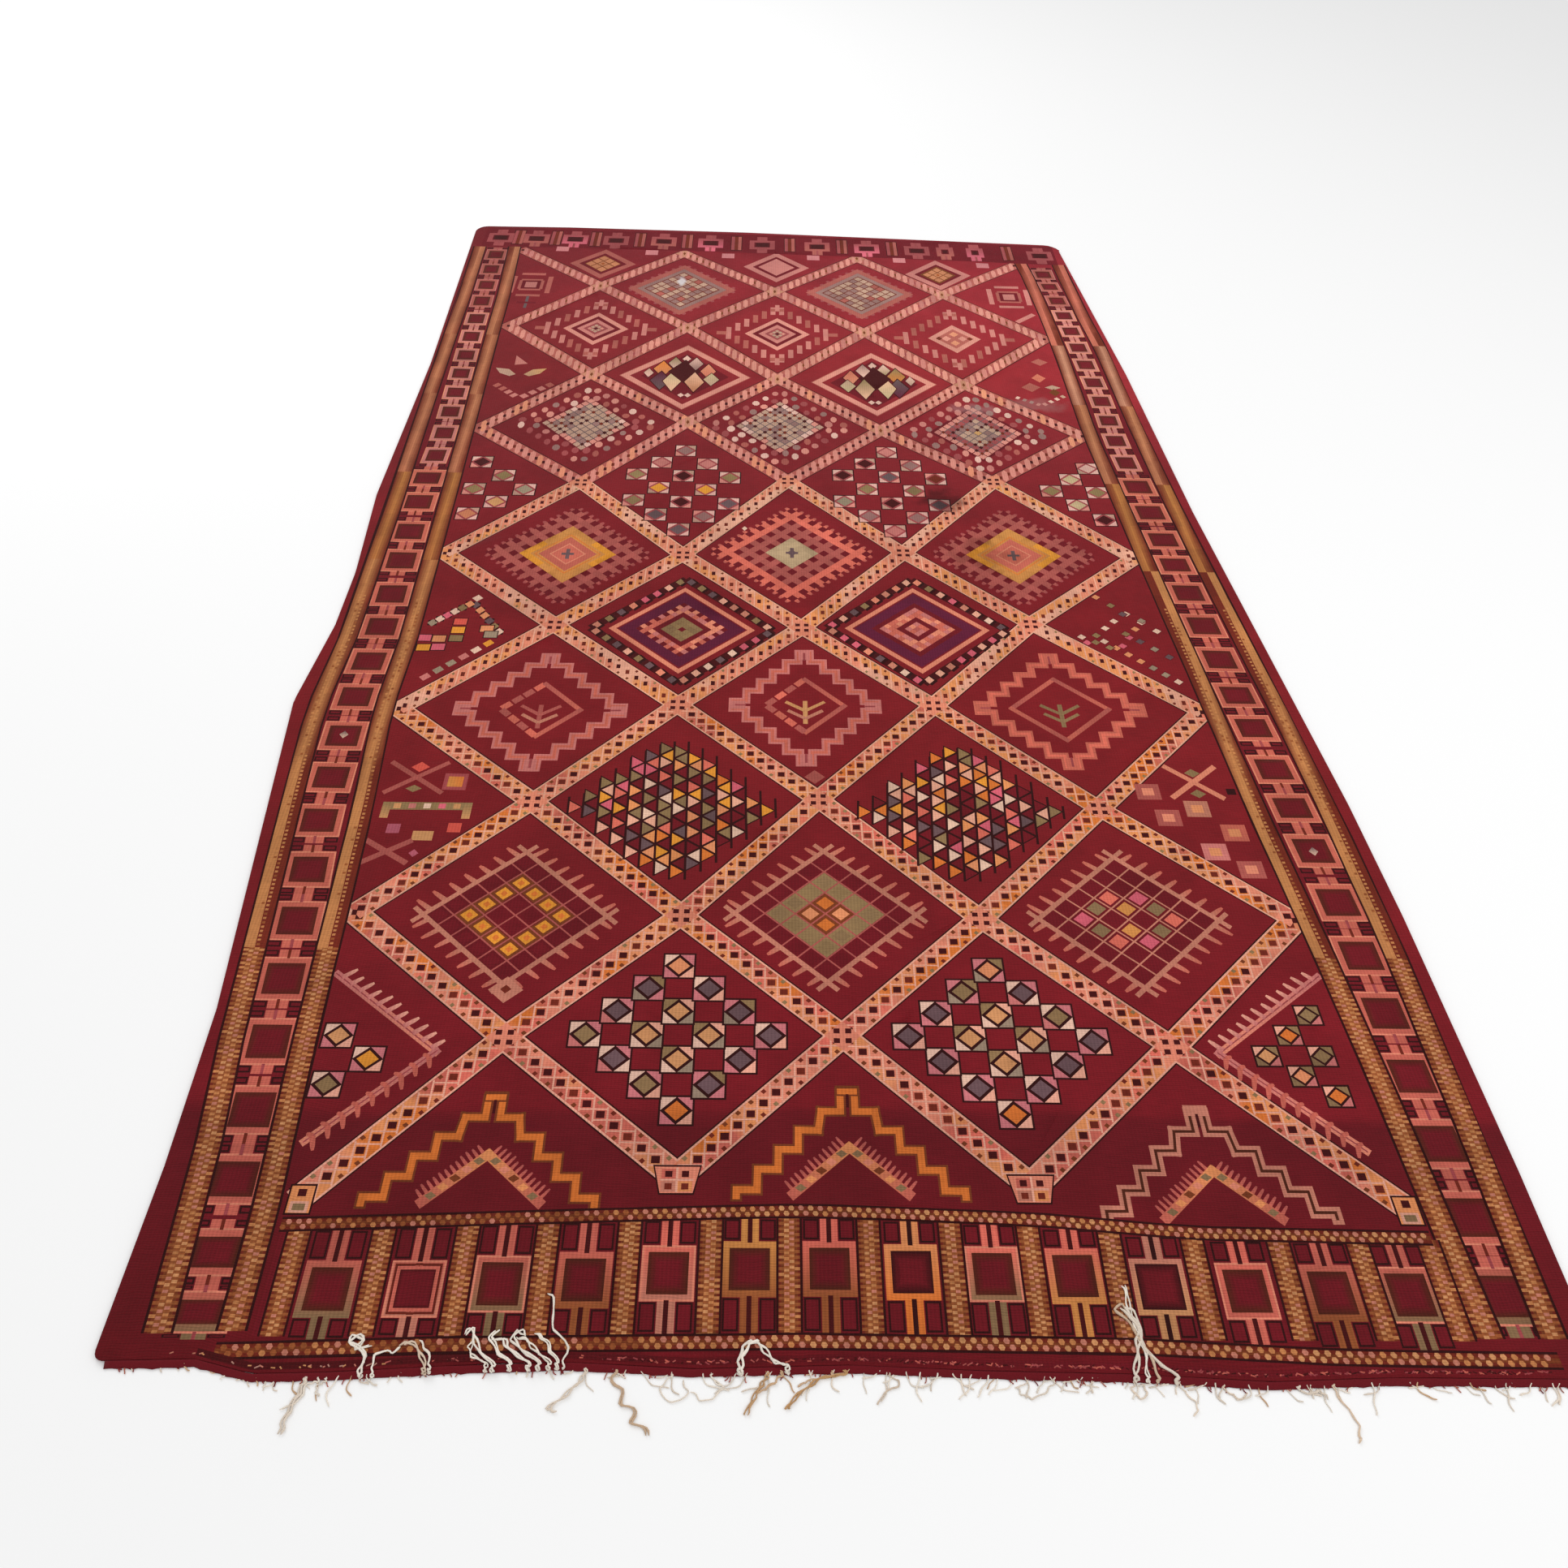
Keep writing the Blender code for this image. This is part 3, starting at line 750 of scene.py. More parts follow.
    def mosaic_halves(self, draft: Draft) -> None:
        """The half cells beside the triangles: crosses, small blocks and a bracket."""
        self.cross(draft, -0.655, 0.512, 0.050, 0.036, 0.0090, Dye.BRICK)
        draft.lay(rhomb(-0.653, 0.536, 0.016, 0.012), Dye.BLUSH)
        draft.lay(rhomb(-0.655, 0.486, 0.014, 0.008), Dye.OLIVE)
        draft.lay(box(-0.587, 0.503, 0.040, 0.038), Dye.DUSK)
        draft.lay(box(-0.587, 0.503, 0.026, 0.024), Dye.HONEY, Dye.ORANGE,
                  (Vector((-0.60, 0.50)), Vector((-0.57, 0.51))))
        draft.lay(box(-0.624, 0.447, 0.150, 0.017), Dye.OLIVE, coarse=True)
        for n, dye in enumerate((Dye.TAN, Dye.ROSE, Dye.CREAM, Dye.PINK, Dye.TAN)):
            draft.lay(box(-0.674 + 0.025 * n, 0.447, 0.012, 0.011), dye)
        for x in (-0.692, -0.556):
            draft.lay(box(x, 0.437, 0.014, 0.034), Dye.TAN, Dye.OLIVE, (Vector((x, 0.42)), Vector((x, 0.45))))
        for x, y, w, dye in ((-0.670, 0.397, 0.022, Dye.MAUVE), (-0.570, 0.400, 0.022, Dye.BLUSH),
                             (-0.619, 0.382, 0.034, Dye.TAN)):
            draft.lay(box(x, y, w, 0.020), dye)
        self.cross(draft, -0.671, 0.348, 0.038, 0.024, 0.010, Dye.BRICK)
        draft.lay(rhomb(-0.626, 0.345, 0.008, 0.008), Dye.MAUVE)
        self.cross(draft, 0.692, 0.524, 0.046, 0.038, 0.0100, Dye.FLESH)
        for y in (0.545, 0.497):
            draft.lay(rhomb(0.694, y, 0.014, 0.010), Dye.OLIVE)
        blocks = ((0.607, 0.500, Dye.BRICK), (0.684, 0.462, Dye.SAND), (0.630, 0.441, Dye.BRICK),
                  (0.735, 0.410, Dye.CORAL),
                  (0.692, 0.368, Dye.ROSE), (0.742, 0.331, Dye.BRICK))
        for x, y, dye in blocks:
            draft.lay(box(x, y, 0.042, 0.036), dye, coarse=True)
            draft.lay(box(x, y, 0.020, 0.017), Dye.FLESH if dye is Dye.BRICK else Dye.PEACH)
        draft.lay(box(0.753, 0.503, 0.016, 0.014), Dye.INK)

    def cross(self, draft: Draft, x: float, y: float, across: float, along: float, line: float, dye: Dye) -> None:
        """Lays a slanting cross from its middle and half size."""
        for way in (-1, 1):
            start, stop = Vector((x - across, y - way * along)), Vector((x + across, y + way * along))
            draft.lay(strip(start, stop, line), dye, coarse=True)

    def plants(self, draft: Draft) -> None:
        """The three stepped diamonds with a small plant in each."""
        plans = ((-0.466, 0.683, 0.150, Dye.ROSE, 0.072, 0.068, Dye.BRICK),
                 (0.016, 0.703, 0.133, Dye.ROSE, 0.072, 0.070, Dye.TAN),
                 (0.487, 0.703, 0.152, Dye.CORAL, 0.090, 0.080, Dye.MOSS))
        for x, y, wide, dye, across, along, leaf in plans:
            path = step_path(x, y, wide, 0.146, 5, 0.011)
            draft.line(path, 0.0150, dye, coarse=True)
            draft.line(path, 0.0060, Dye.CORAL if dye is Dye.ROSE else Dye.SALMON)
            for way in (-1, 1):
                draft.lay(box(x, y + way * 0.138, 0.022, 0.028), dye)
                draft.lay(box(x, y + way * 0.134, 0.0045, 0.022), Dye.DUSK)
                draft.lay(box(x + way * (wide - 0.010), y, 0.026, 0.022), dye)
                draft.lay(box(x + way * (wide - 0.014), y, 0.020, 0.0040), Dye.DUSK)
            for place, (start, stop) in enumerate(diamond_sides(x, y, across, along)):
                if place in (1, 2) or leaf is Dye.MOSS:
                    draft.lay(strip(start, stop, 0.0095, 0.004), Dye.CORAL, Dye.BRICK, (stop, start), coarse=True)
                else:
                    draft.dashes(start, stop, 4, 0.84, 0.013, (Dye.CORAL, Dye.BRICK, Dye.SALMON))
            draft.lay(box(x, y - 0.018, 0.0085, 0.060), leaf)
            for level, reach, tint in ((-0.006, 0.036, leaf),
                                       (-0.026, 0.032, Dye.SAND if leaf is not Dye.MOSS else leaf)):
                for way in (-1, 1):
                    start = Vector((x, y + level - 0.008))
                    draft.lay(strip(start, start + Vector((way * reach, reach * 0.66)), 0.0070), tint)
        draft.lay(rhomb(0.030, 0.525, 0.018, 0.016), Dye.BRICK)


@dataclass
class FarMotifs:
    """The motifs of the rows farther from the fringe."""

    def weave(self, draft: Draft) -> None:
        """Lays all of them."""
        self.dash_diamonds(draft)
        self.dash_halves(draft)
        self.dot_diamonds(draft)
        self.checkers(draft)
        self.block_diamonds(draft)
        self.lined_mosaics(draft)
        self.wing_halves(draft)
        self.zigzag_diamonds(draft)
        self.check_diamonds(draft)
        self.bracket_halves(draft)
        self.last_diamonds(draft)

    def dash_diamonds(self, draft: Draft) -> None:
        """The two cells with a dashed ring round a plain line and a ring of lozenges."""
        for x, y, heart in ((-0.222, 0.913, (Dye.OLIVE, Dye.MOSS)), (0.240, 0.923, (Dye.BRICK, Dye.ROSE))):
            mixed = (Dye.SHELL, Dye.OLIVE, Dye.PINK, Dye.SAND, Dye.SLATE, Dye.FLESH, Dye.CREAM)
            for start, stop in diamond_sides(x, y, 0.178, 0.156):
                draft.lay(strip(start, stop, 0.019), Dye.DARK)
                for n in range(8):
                    spot = start.lerp(stop, (n + 0.5) / 8)
                    draft.lay(rhomb(spot.x + 0.004, spot.y - 0.002, 0.0125, 0.0135), Dye.INK)
                    draft.lay(rhomb(spot.x, spot.y, 0.0095, 0.0105), draft.dice.choice(mixed))
            draft.ring(x, y, 0.143, 0.129, 0.0100, Dye.FLESH)
            draft.lay(rhomb(x, y, 0.124, 0.111), Dye.MULBERRY, coarse=True)
            draft.lay(rhomb(x, y, 0.090, 0.081), Dye.WINE, coarse=True)
            pale = (Dye.FLESH, Dye.ROSE, Dye.CORAL)
            rings = ((Dye.WINE,), heart, heart, (Dye.WINE,), pale, pale)
            if y > 0.92:
                rings = (heart, pale, (Dye.WINE,), pale, pale, (Dye.WINE,))
            RingChart(x, y, 0.0083, 0.0074, rings, fill=0.98, holed=5).weave(draft)

    def dash_halves(self, draft: Draft) -> None:
        """The half cells beside them: a broken triangle of dashes and blocks, thinner on the right."""
        mixed = (Dye.CREAM, Dye.PINK, Dye.SAGE, Dye.PEACH, Dye.SLATE, Dye.OLIVE)
        for n in range(6):
            for foot, head in (((-0.715, 0.915), (-0.640, 0.985)), ((-0.640, 0.985), (-0.570, 0.888))):
                spot = Vector(foot).lerp(Vector(head), (n + 0.5) / 6)
                draft.lay(box(spot.x, spot.y, 0.018, 0.016), Dye.INK)
                draft.lay(rhomb(spot.x, spot.y, 0.010, 0.011), draft.dice.choice(mixed))
        draft.lay(rhomb(-0.634, 0.998, 0.011, 0.011), Dye.CREAM)
        blocks = ((-0.655, 0.925, Dye.BLUSH), (-0.655, 0.900, Dye.AMBER), (-0.655, 0.876, Dye.OLIVE),
                  (-0.687, 0.874, Dye.PEACH), (-0.715, 0.876, Dye.PINK), (-0.712, 0.848, Dye.AMBER),
                  (-0.684, 0.850, Dye.PINK), (-0.600, 0.905, Dye.PEACH), (-0.590, 0.888, Dye.SAGE))
        for x, y, dye in blocks:
            draft.lay(box(x, y, 0.029, 0.022), Dye.INK, coarse=True)
            draft.lay(box(x, y, 0.025, 0.018), dye)
        draft.dashes(Vector((-0.580, 0.872)), Vector((-0.702, 0.756)), 6, 0.62, 0.014,
                     (Dye.CREAM, Dye.PEACH, Dye.SAGE, Dye.ROSE, Dye.AMBER))
        trails = (((0.600, 1.045), (0.728, 0.915), 5), ((0.668, 0.990), (0.560, 0.880), 5),
                  ((0.700, 0.972), (0.630, 0.870), 4),
                  ((0.595, 0.905), (0.735, 0.772), 7), ((0.640, 0.930), (0.735, 0.840), 4),
                  ((0.550, 0.915), (0.625, 0.870), 3))
        for start, stop, count in trails:
            for n in range(count):
                spot = Vector(start).lerp(Vector(stop), (n + 0.5) / count)
                draft.lay(rhomb(spot.x, spot.y, 0.0115, 0.0105), Dye.WINE)
                draft.lay(rhomb(spot.x, spot.y, 0.0090, 0.0080), draft.dice.choice(mixed))

    def dot_diamonds(self, draft: Draft) -> None:
        """The three cells with a fine dotted diamond and a glowing heart."""
        warm = ((Dye.SLATE,), (Dye.CORAL,), (Dye.FLESH, Dye.CORAL), (Dye.HONEY,), (Dye.HONEY, Dye.AMBER))
        plans = ((-0.473, 1.148, Dye.BRICK, Dye.DUSK, warm),
                 (-0.005, 1.163, Dye.SALMON, Dye.BRICK, ((Dye.SLATE,), (Dye.REED,), (Dye.REED,))),
                 (0.463, 1.167, Dye.BRICK, Dye.DUSK, warm))
        for x, y, outer, inner, hearts in plans:
            across, along, size = 0.01120, 0.0107, len(hearts)
            draft.lay(rhomb(x, y, 15.4 * across, 15.2 * along), Dye.WINE, coarse=True)
            rings = (*hearts, *((outer if ring > 5 or size > 3 else inner,) for ring in range(size, 8)))
            chart = RingChart(x, y, across, along, rings, fill=0.99, holed=size)
            draft.lay(rhomb(x, y, (2 * size - 1) * across, (2 * size - 1) * along), hearts[-1][0], coarse=True)
            chart.weave(draft)
            for start, stop in diamond_sides(x, y, 15.0 * across, 15.0 * along):
                draft.comb(start, stop, 13, 0.010, 0.0080, outer, 90, inner)
            if size == 5:
                draft.ring(x, y, 6.2 * across, 6.2 * along, 0.0025, Dye.ORANGE, Dye.HONEY, coarse=False)
                draft.lay(rhomb(x, y, 5.4 * across, 5.4 * along), Dye.CORAL, coarse=True)
                draft.ring(x, y, 3.4 * across, 3.4 * along, 0.0030, Dye.FLESH, Dye.CORAL, coarse=False)
            draft.lay(box(x, y, 0.008, 0.034), Dye.SLATE)
            draft.lay(box(x, y, 0.026, 0.007), Dye.SLATE)
        draft.lay(rhomb(-0.106, 1.247, 0.006, 0.008), Dye.CREAM)

    def checkers(self, draft: Draft) -> None:
        """The two cells of star squares that meet at their corners, and the half cells beside them."""
        star = StarSquare(0.045, 0.042, 0.0026, Dye.DUSK)
        edges = ((Dye.PALE, Dye.FAWN, Dye.PALE, Dye.SHRIMP), (Dye.PALE, Dye.PALE, Dye.SHRIMP, Dye.PALE),
                 (Dye.SHRIMP, Dye.PALE, Dye.PALE, Dye.FAWN))
        left = ((Dye.SLATE,), (Dye.SLATE, Dye.HEATHER), (Dye.MOSS, Dye.DARK, Dye.SLATE), (Dye.AMBER, Dye.AMBER),
                (Dye.OLIVE, Dye.DARK, Dye.OLIVE), (Dye.ROSE, Dye.ROSE), (Dye.HEATHER,))
        right = ((Dye.ROSE,), (Dye.HEATHER, Dye.HEATHER), (Dye.SAGE, Dye.DARK, Dye.SLATE), (Dye.OLIVE, Dye.MOSS),
                 (Dye.DARK, Dye.SLATE, Dye.UMBER), (Dye.DARK, Dye.HEATHER), (Dye.ROSE,))
        for x, y, chart in ((-0.248, 1.392, left), (0.218, 1.400, right)):
            for row, hearts in zip(range(-3, 4), chart):
                for n, heart in enumerate(hearts):
                    place = 2 * n - len(hearts) + 1
                    star.weave(draft, x + place * 0.0525, y + row * 0.0510 - place * 0.002,
                               draft.dice.choice(edges), heart)
        star = StarSquare(0.046, 0.042, 0.0026, Dye.DUSK)
        for x, y, heart in ((-0.708, 1.485, Dye.DARK), (-0.650, 1.432, Dye.OLIVE), (-0.7080, 1.378, Dye.OLIVE),
                            (-0.5960, 1.378, Dye.SAGE), (-0.652, 1.330, Dye.TAN), (-0.706, 1.284, Dye.COPPER),
                            (0.678, 1.500, Dye.PALE), (0.632, 1.455, Dye.REED), (0.581, 1.408, Dye.OLIVE),
                            (0.684, 1.405, Dye.OLIVE), (0.632, 1.355, Dye.REED), (0.682, 1.300, Dye.DARK)):
            star.weave(draft, x, y, draft.dice.choice(edges), heart)

    def block_diamonds(self, draft: Draft) -> None:
        """The three cells with a pale worn block of lozenges and two broken rings of dots."""
        worn = (Dye.FAWN, Dye.FAWN, Dye.FAWN, Dye.HEATHER)
        edge = (Dye.PALE, Dye.FAWN, Dye.SHRIMP, Dye.FAWN)
        plans = ((-0.490, 1.655, (*((worn,) * 4), edge)), (-0.030, 1.657, (*((worn,) * 4), edge)),
                 (0.442, 1.645, ((Dye.TAN, Dye.FAWN), worn, worn, (Dye.DUSK,), (Dye.SHRIMP, Dye.ROSE, Dye.SHRIMP))))
        for x, y, rings in plans:
            draft.lay(rhomb(x, y, 0.116, 0.124), Dye.WINE, coarse=True)
            draft.lay(rhomb(x, y, 0.094, 0.100), Dye.SLATE, coarse=True)
            chart = RingChart(x, y, 0.0118, 0.0128, rings, fill=0.86)
            chart.weave(draft)
            for n in range(-4, 4):
                for m in range(-4, 4):
                    spot = chart.spot(n + 0.5, m + 0.5)
                    if draft.dice.random() < 0.42:
                        draft.lay(rhomb(spot.x, spot.y, 0.0056, 0.0070), draft.dice.choice((Dye.UMBER, Dye.DARK)))
            for reach, count in ((0.129, 5), (0.164, 7)):
                for start, stop in diamond_sides(x, y, reach, reach * 0.99):
                    for n in range(count):
                        spot = start.lerp(stop, (n + 0.5) / count)
                        w, h = draft.dice.uniform(0.0068, 0.0092), draft.dice.uniform(0.0095, 0.0132)
                        dye = draft.dice.choice((Dye.PALE, Dye.ROSE, Dye.HEATHER, Dye.SHRIMP, Dye.DUSK, Dye.BRICK))
                        draft.lay([Vector((spot.x + w * a, spot.y + h * b)) for a, b in
                                   ((-1, -0.4), (-0.4, -1), (0.4, -1), (1, -0.4), (1, 0.4), (0.4, 1), (-0.4, 1),
                                    (-1, 0.4))], dye)

    def lined_mosaics(self, draft: Draft) -> None:
        """The two cells with a broad salmon line round a small mosaic of long lozenges."""
        chart = ((-0.092, 0.015, 0.010, 0.022, Dye.PALE, Dye.FAWN),
                 (-0.058, 0.036, 0.019, 0.040, Dye.COPPER, Dye.ORANGE),
                 (-0.060, -0.022, 0.021, 0.044, Dye.SLATE, Dye.MULBERRY),
                 (-0.028, 0.066, 0.014, 0.030, Dye.PALE, Dye.OLIVE),
                 (-0.031, -0.024, 0.019, 0.048, Dye.SHELL, Dye.REED), (0.000, 0.088, 0.009, 0.017, Dye.PALE, Dye.PALE),
                 (-0.002, 0.024, 0.031, 0.052, Dye.DARK, Dye.DARK), (0.025, 0.062, 0.015, 0.032, Dye.HEATHER, Dye.PALE),
                 (0.024, -0.028, 0.020, 0.048, Dye.COPPER, Dye.SHELL),
                 (0.057, 0.026, 0.016, 0.036, Dye.CORAL, Dye.FLESH),
                 (0.066, -0.014, 0.016, 0.030, Dye.FAWN, Dye.REED), (-0.006, -0.091, 0.007, 0.010, Dye.PALE, Dye.PALE),
                 (0.011, -0.091, 0.007, 0.010, Dye.PALE, Dye.PALE))
        for x, y, across, along, flip in ((-0.268, 1.884, 0.165, 0.160, 1), (0.206, 1.866, 0.158, 0.155, -1)):
            draft.ring(x, y, across, along, 0.0215, Dye.BRICK, Dye.GROUND)
            draft.ring(x, y, across - 0.003, along - 0.003, 0.0165, Dye.SHRIMP, Dye.GROUND)
            draft.lay(rhomb(x, y, 0.110, 0.112), Dye.WINE, coarse=True)
            for px, py, w, h, low, high in chart:
                lower, upper = Vector((x + px * flip, y + py - h)), Vector((x + px * flip, y + py + h))
                pair = (low, high) if flip > 0 else (high, Dye.MOSS if low is Dye.COPPER else low)
                draft.lay(rhomb(x + px * flip, y + py, w * 1.36, h * 1.14), Dye.DARK)
                draft.lay(rhomb(x + px * flip, y + py, w * 1.22, h), pair[0], pair[1], (lower, upper))

    def wing_halves(self, draft: Draft) -> None:
        """The half cells beside them: a winged leaf on the left, worn patches on the right."""
        for way in (-1, 1):
            wing = ((0.010, 0.000), (0.030, 0.024), (0.064, 0.030), (0.050, 0.004), (0.024, -0.010))
            draft.lay([Vector((-0.681 + way * px, 1.880 + py)) for px, py in wing], Dye.FAWN, Dye.TAN,
                      (Vector((-0.70, 1.87)), Vector((-0.62, 1.91))), coarse=True)
        draft.lay([Vector((-0.700, 1.925)), Vector((-0.668, 1.932)), Vector((-0.702, 1.972))], Dye.ROSE)
        for start, stop in (((-0.736, 1.832), (-0.672, 1.770)), ((-0.664, 1.766), (-0.590, 1.838))):
            draft.dashes(Vector(start), Vector(stop), 4, 0.66, 0.018, (Dye.ROSE, Dye.BRICK))
        for x, y, a, b, dye in ((0.626, 1.908, 0.018, 0.022, Dye.CORAL), (0.600, 1.862, 0.024, 0.022, Dye.BRICK),
                                (0.655, 1.862, 0.020, 0.012, Dye.FAWN), (0.656, 1.838, 0.014, 0.018, Dye.BARK),
                                (0.640, 1.990, 0.022, 0.018, Dye.BRICK)):
            draft.lay(rhomb(x, y, a, b), dye)
        draft.dashes(Vector((0.552, 1.815)), Vector((0.615, 1.775)), 4, 0.5, 0.012, (Dye.PALE, Dye.ROSE, Dye.HEATHER))
        draft.dashes(Vector((0.615, 1.775)), Vector((0.682, 1.825)), 4, 0.5, 0.012, (Dye.PALE, Dye.ROSE, Dye.FAWN))

    def zigzag_diamonds(self, draft: Draft) -> None:
        """The three cells with a broken zigzag ring round one or two plain rings."""
        for x, y in ((-0.516, 2.122), (-0.037, 2.113), (0.432, 2.105)):
            for start, stop in diamond_sides(x, y, 0.140, 0.140):
                for n in range(6):
                    spot = start.lerp(stop, (n + 0.5) / 6)
                    draft.lay(box(spot.x, spot.y, 0.0135, 0.042), draft.dice.choice((Dye.ROSE, Dye.ROSE, Dye.BRICK)))
            for way in (-1, 1):
                draft.lay(box(x + way * 0.128, y, 0.0125, 0.062), Dye.ROSE)
                draft.lay(box(x + way * 0.147, y, 0.026, 0.018), Dye.BRICK)
                draft.lay(box(x, y + way * 0.134, 0.036, 0.016), Dye.BRICK)
                draft.lay(box(x, y + way * 0.146, 0.012, 0.034), Dye.ROSE)
            if x > 0.3:
                draft.ring(x, y, 0.070, 0.076, 0.0155, Dye.SHRIMP, Dye.BRICK)
                RingChart(x, y, 0.0215, 0.0235, ((Dye.FLESH, Dye.SHRIMP),), even=True, fill=0.60).weave(draft)
                for way in (-1, 1):
                    draft.lay(rhomb(x + way * 0.041, y, 0.009, 0.010), Dye.UMBER)
                continue
            draft.ring(x, y, 0.086, 0.088, 0.0140, Dye.SHRIMP, Dye.WINE)
            draft.ring(x, y, 0.050, 0.051, 0.0120, Dye.ROSE, Dye.DUSK)
            RingChart(x, y, 0.0080, 0.0080, ((Dye.DARK,), (Dye.FAWN, Dye.SHRIMP)), fill=0.8).weave(draft)

    def check_diamonds(self, draft: Draft) -> None:
        """The two cells with a dull ring round a worn check of small lozenges."""
        worn = (Dye.FAWN, Dye.HEATHER, Dye.FAWN, Dye.BRICK, Dye.FAWN, Dye.HEATHER)
        for x, y in ((-0.302, 2.360), (0.192, 2.355)):
            for start, stop in diamond_sides(x, y, 0.148, 0.148):
                draft.comb(start, stop, 8, 0.009, 0.0110, Dye.DUSK, 90)
            draft.ring(x, y, 0.150, 0.150, 0.018, Dye.BRICK)
            draft.lay(rhomb(x, y, 0.124, 0.124), Dye.HEATHER, coarse=True)
            draft.lay(rhomb(x, y, 0.105, 0.105), Dye.UMBER, coarse=True)
            RingChart(x, y, 0.0146, 0.0146, ((Dye.FAWN,), worn, worn, worn), fill=0.86).weave(draft)

    def bracket_halves(self, draft: Draft) -> None:
        """The last half cells: nested brackets round a square."""
        for x, y, w, h, dye in ((-0.722, 2.370, 0.100, 0.130, Dye.BRICK), (0.609, 2.352, 0.104, 0.118, Dye.ROSE)):
            for way in (-1, 1):
                draft.lay(box(x + way * w / 2, y, 0.014, h * 0.78), dye, coarse=True)
                draft.lay(box(x, y + way * h / 2, w * 0.66, 0.013), dye)
                draft.lay(box(x + way * 0.030, y, 0.009, 0.052), Dye.BRICK)
                draft.lay(box(x, y + way * 0.030, 0.060, 0.009), Dye.BRICK)
            draft.lay(box(x, y, 0.052, 0.050), Dye.WINE)
            draft.lay(box(x, y, 0.032, 0.034), Dye.ROSE, coarse=True)
        draft.lay(strip(Vector((0.612, 2.205)), Vector((0.664, 2.253)), 0.015), Dye.ROSE)
        draft.lay(box(-0.720, 2.265, 0.008, 0.070), Dye.SLATE)
        draft.lay(box(-0.720, 2.262, 0.052, 0.010), Dye.WINE)

    def last_diamonds(self, draft: Draft) -> None:
        """The three small ringed diamonds by the far border."""
        plans = ((-0.536, 2.508, Dye.BRICK, Dye.COPPER, 0.0170), (-0.040, 2.508, Dye.ROSE, Dye.ROSE, 0.0),
                 (0.422, 2.480, Dye.ROSE, Dye.COPPER, 0.0150))
        for x, y, dye, heart, check in plans:
            draft.ring(x, y, 0.094, 0.094, 0.0185, dye, Dye.WINE)
            draft.lay(rhomb(x, y, 0.052, 0.054), Dye.BARK if check else heart, coarse=True)
            if check:
                RingChart(x, y, check, check * 1.05, ((heart,), (heart,)), fill=0.86).weave(draft)
                draft.lay(rhomb(x, y, 0.006, 0.008), Dye.RUST)


@dataclass
class Stripe:
    """A plaited stripe along a path: a golden chain down its middle, short bars each side, dark outlines.

    Attributes:
        path: Rows of (along, across) down its middle.
        start: Where it starts along the cloth.
        stop: Where it stops.
        width: Its width between the outlines.
        bar: Length of one bar's repeat at the near end.
        slow: How much the repeat grows for each metre along.
        line: Width of the dark outlines.
        near: How far along the single bars can be told apart.
    """

    path: Table
    start: float
    stop: float
    width: float = 0.032
    bar: float = 0.0078
    slow: float = 0.0030
    line: float = 0.0034
    near: float = 0.16

    def spot(self, side: float, along: float) -> Vector:
        """The place a given way to the side of the path."""
        return Vector((at(self.path, along) + side, along))

    def run(self, draft: Draft, side: float, width: float, dye: Dye, start: float, stop: float, pace: float,
            onto: Dye | None = None, coarse: bool = False) -> None:
        """Lays a strip beside the path, bending with it.

        Args:
            draft: The weaver's draft.
            side: Distance of its middle from the path.
            width: Its width.
            dye: Its colour, or its colour at the left if it shades.
            start: Where it starts.
            stop: Where it stops.
            pace: Length of one straight piece.
            onto: The colour at its right.
            coarse: Whether the underside shows it too.
        """
        count = max(1, round((stop - start) / pace))
        marks = [start + (stop - start) * n / count for n in range(count + 1)]
        left = [self.spot(side - width / 2, y) for y in marks]
        right = [self.spot(side + width / 2, y) for y in marks]
        middle = (start + stop) / 2
        ends = (self.spot(side - width / 2, middle), self.spot(side + width / 2, middle))
        if onto is None:
            draft.lay(left[::-1] + right, dye, coarse=coarse)
            return
        for n in range(count):
            draft.lay([left[n], right[n], right[n + 1], left[n + 1]], dye, onto, ends)

    def weave(self, draft: Draft) -> None:
        """Lays the outlines, the shaded sides, the chain and the bars."""
        self.run(draft, 0, self.width + 2 * self.line, Dye.INK, self.start, self.stop, 0.08, coarse=True)
        self.run(draft, 0, self.width, Dye.UMBER, self.start, self.stop, 0.08, coarse=True)
        core = self.width * 0.50
        smooth = max(self.start, min(self.stop, self.near))
        left = at(self.path, 2.0) < 0
        fade = ((smooth, 1.12, Dye.CLAY), (1.12, 1.44, Dye.GOLD), (1.44, 1.78, Dye.COPPER),
                (1.78, 2.08, Dye.COPPER if left else Dye.SAND), (2.08, 3.00, Dye.COPPER if left else Dye.CORAL))
        for low, high, dye in fade:
            if low < self.stop and self.start < high:
                for way, pair in ((-1, (Dye.UMBER, dye)), (1, (dye, Dye.UMBER))):
                    self.run(draft, way * self.width / 4, self.width / 2, pair[0], low, min(high, self.stop),
                             0.08, pair[1], coarse=True)
        if self.start < smooth:
            self.run(draft, 0, core * 1.5, Dye.BARK, self.start, smooth, 0.08, coarse=True)
            self.run(draft, 0, core, Dye.BRASS, self.start, smooth, 0.08, coarse=True)
        along = self.start + 0.004
        while along < min(self.stop - 0.006, 1.0):
            step = self.bar + self.slow * max(0.0, along - 0.1)
            reach = (self.width - core) / 2
            middle = at(self.path, along)
            for way in (-1, 1):
                if along < smooth:
                    spot = middle + way * (core / 2 + reach * 0.46)
                    draft.lay(box(spot, along, reach * 0.98, step * 0.52),
                              draft.dice.choice((Dye.BRASS, Dye.CLAY, Dye.BRASS)))
                high = along + way * step * 0.25
                dye = draft.dice.choice((Dye.CLAY, Dye.TAN,
                                         Dye.SAND) if along < smooth else (Dye.CLAY, Dye.BRASS, Dye.CLAY, Dye.CLAY))
                draft.lay(box(middle + way * core * 0.24, high, core * (0.42 if along < smooth else 0.30),
                              step * 0.50), dye)
            along += step


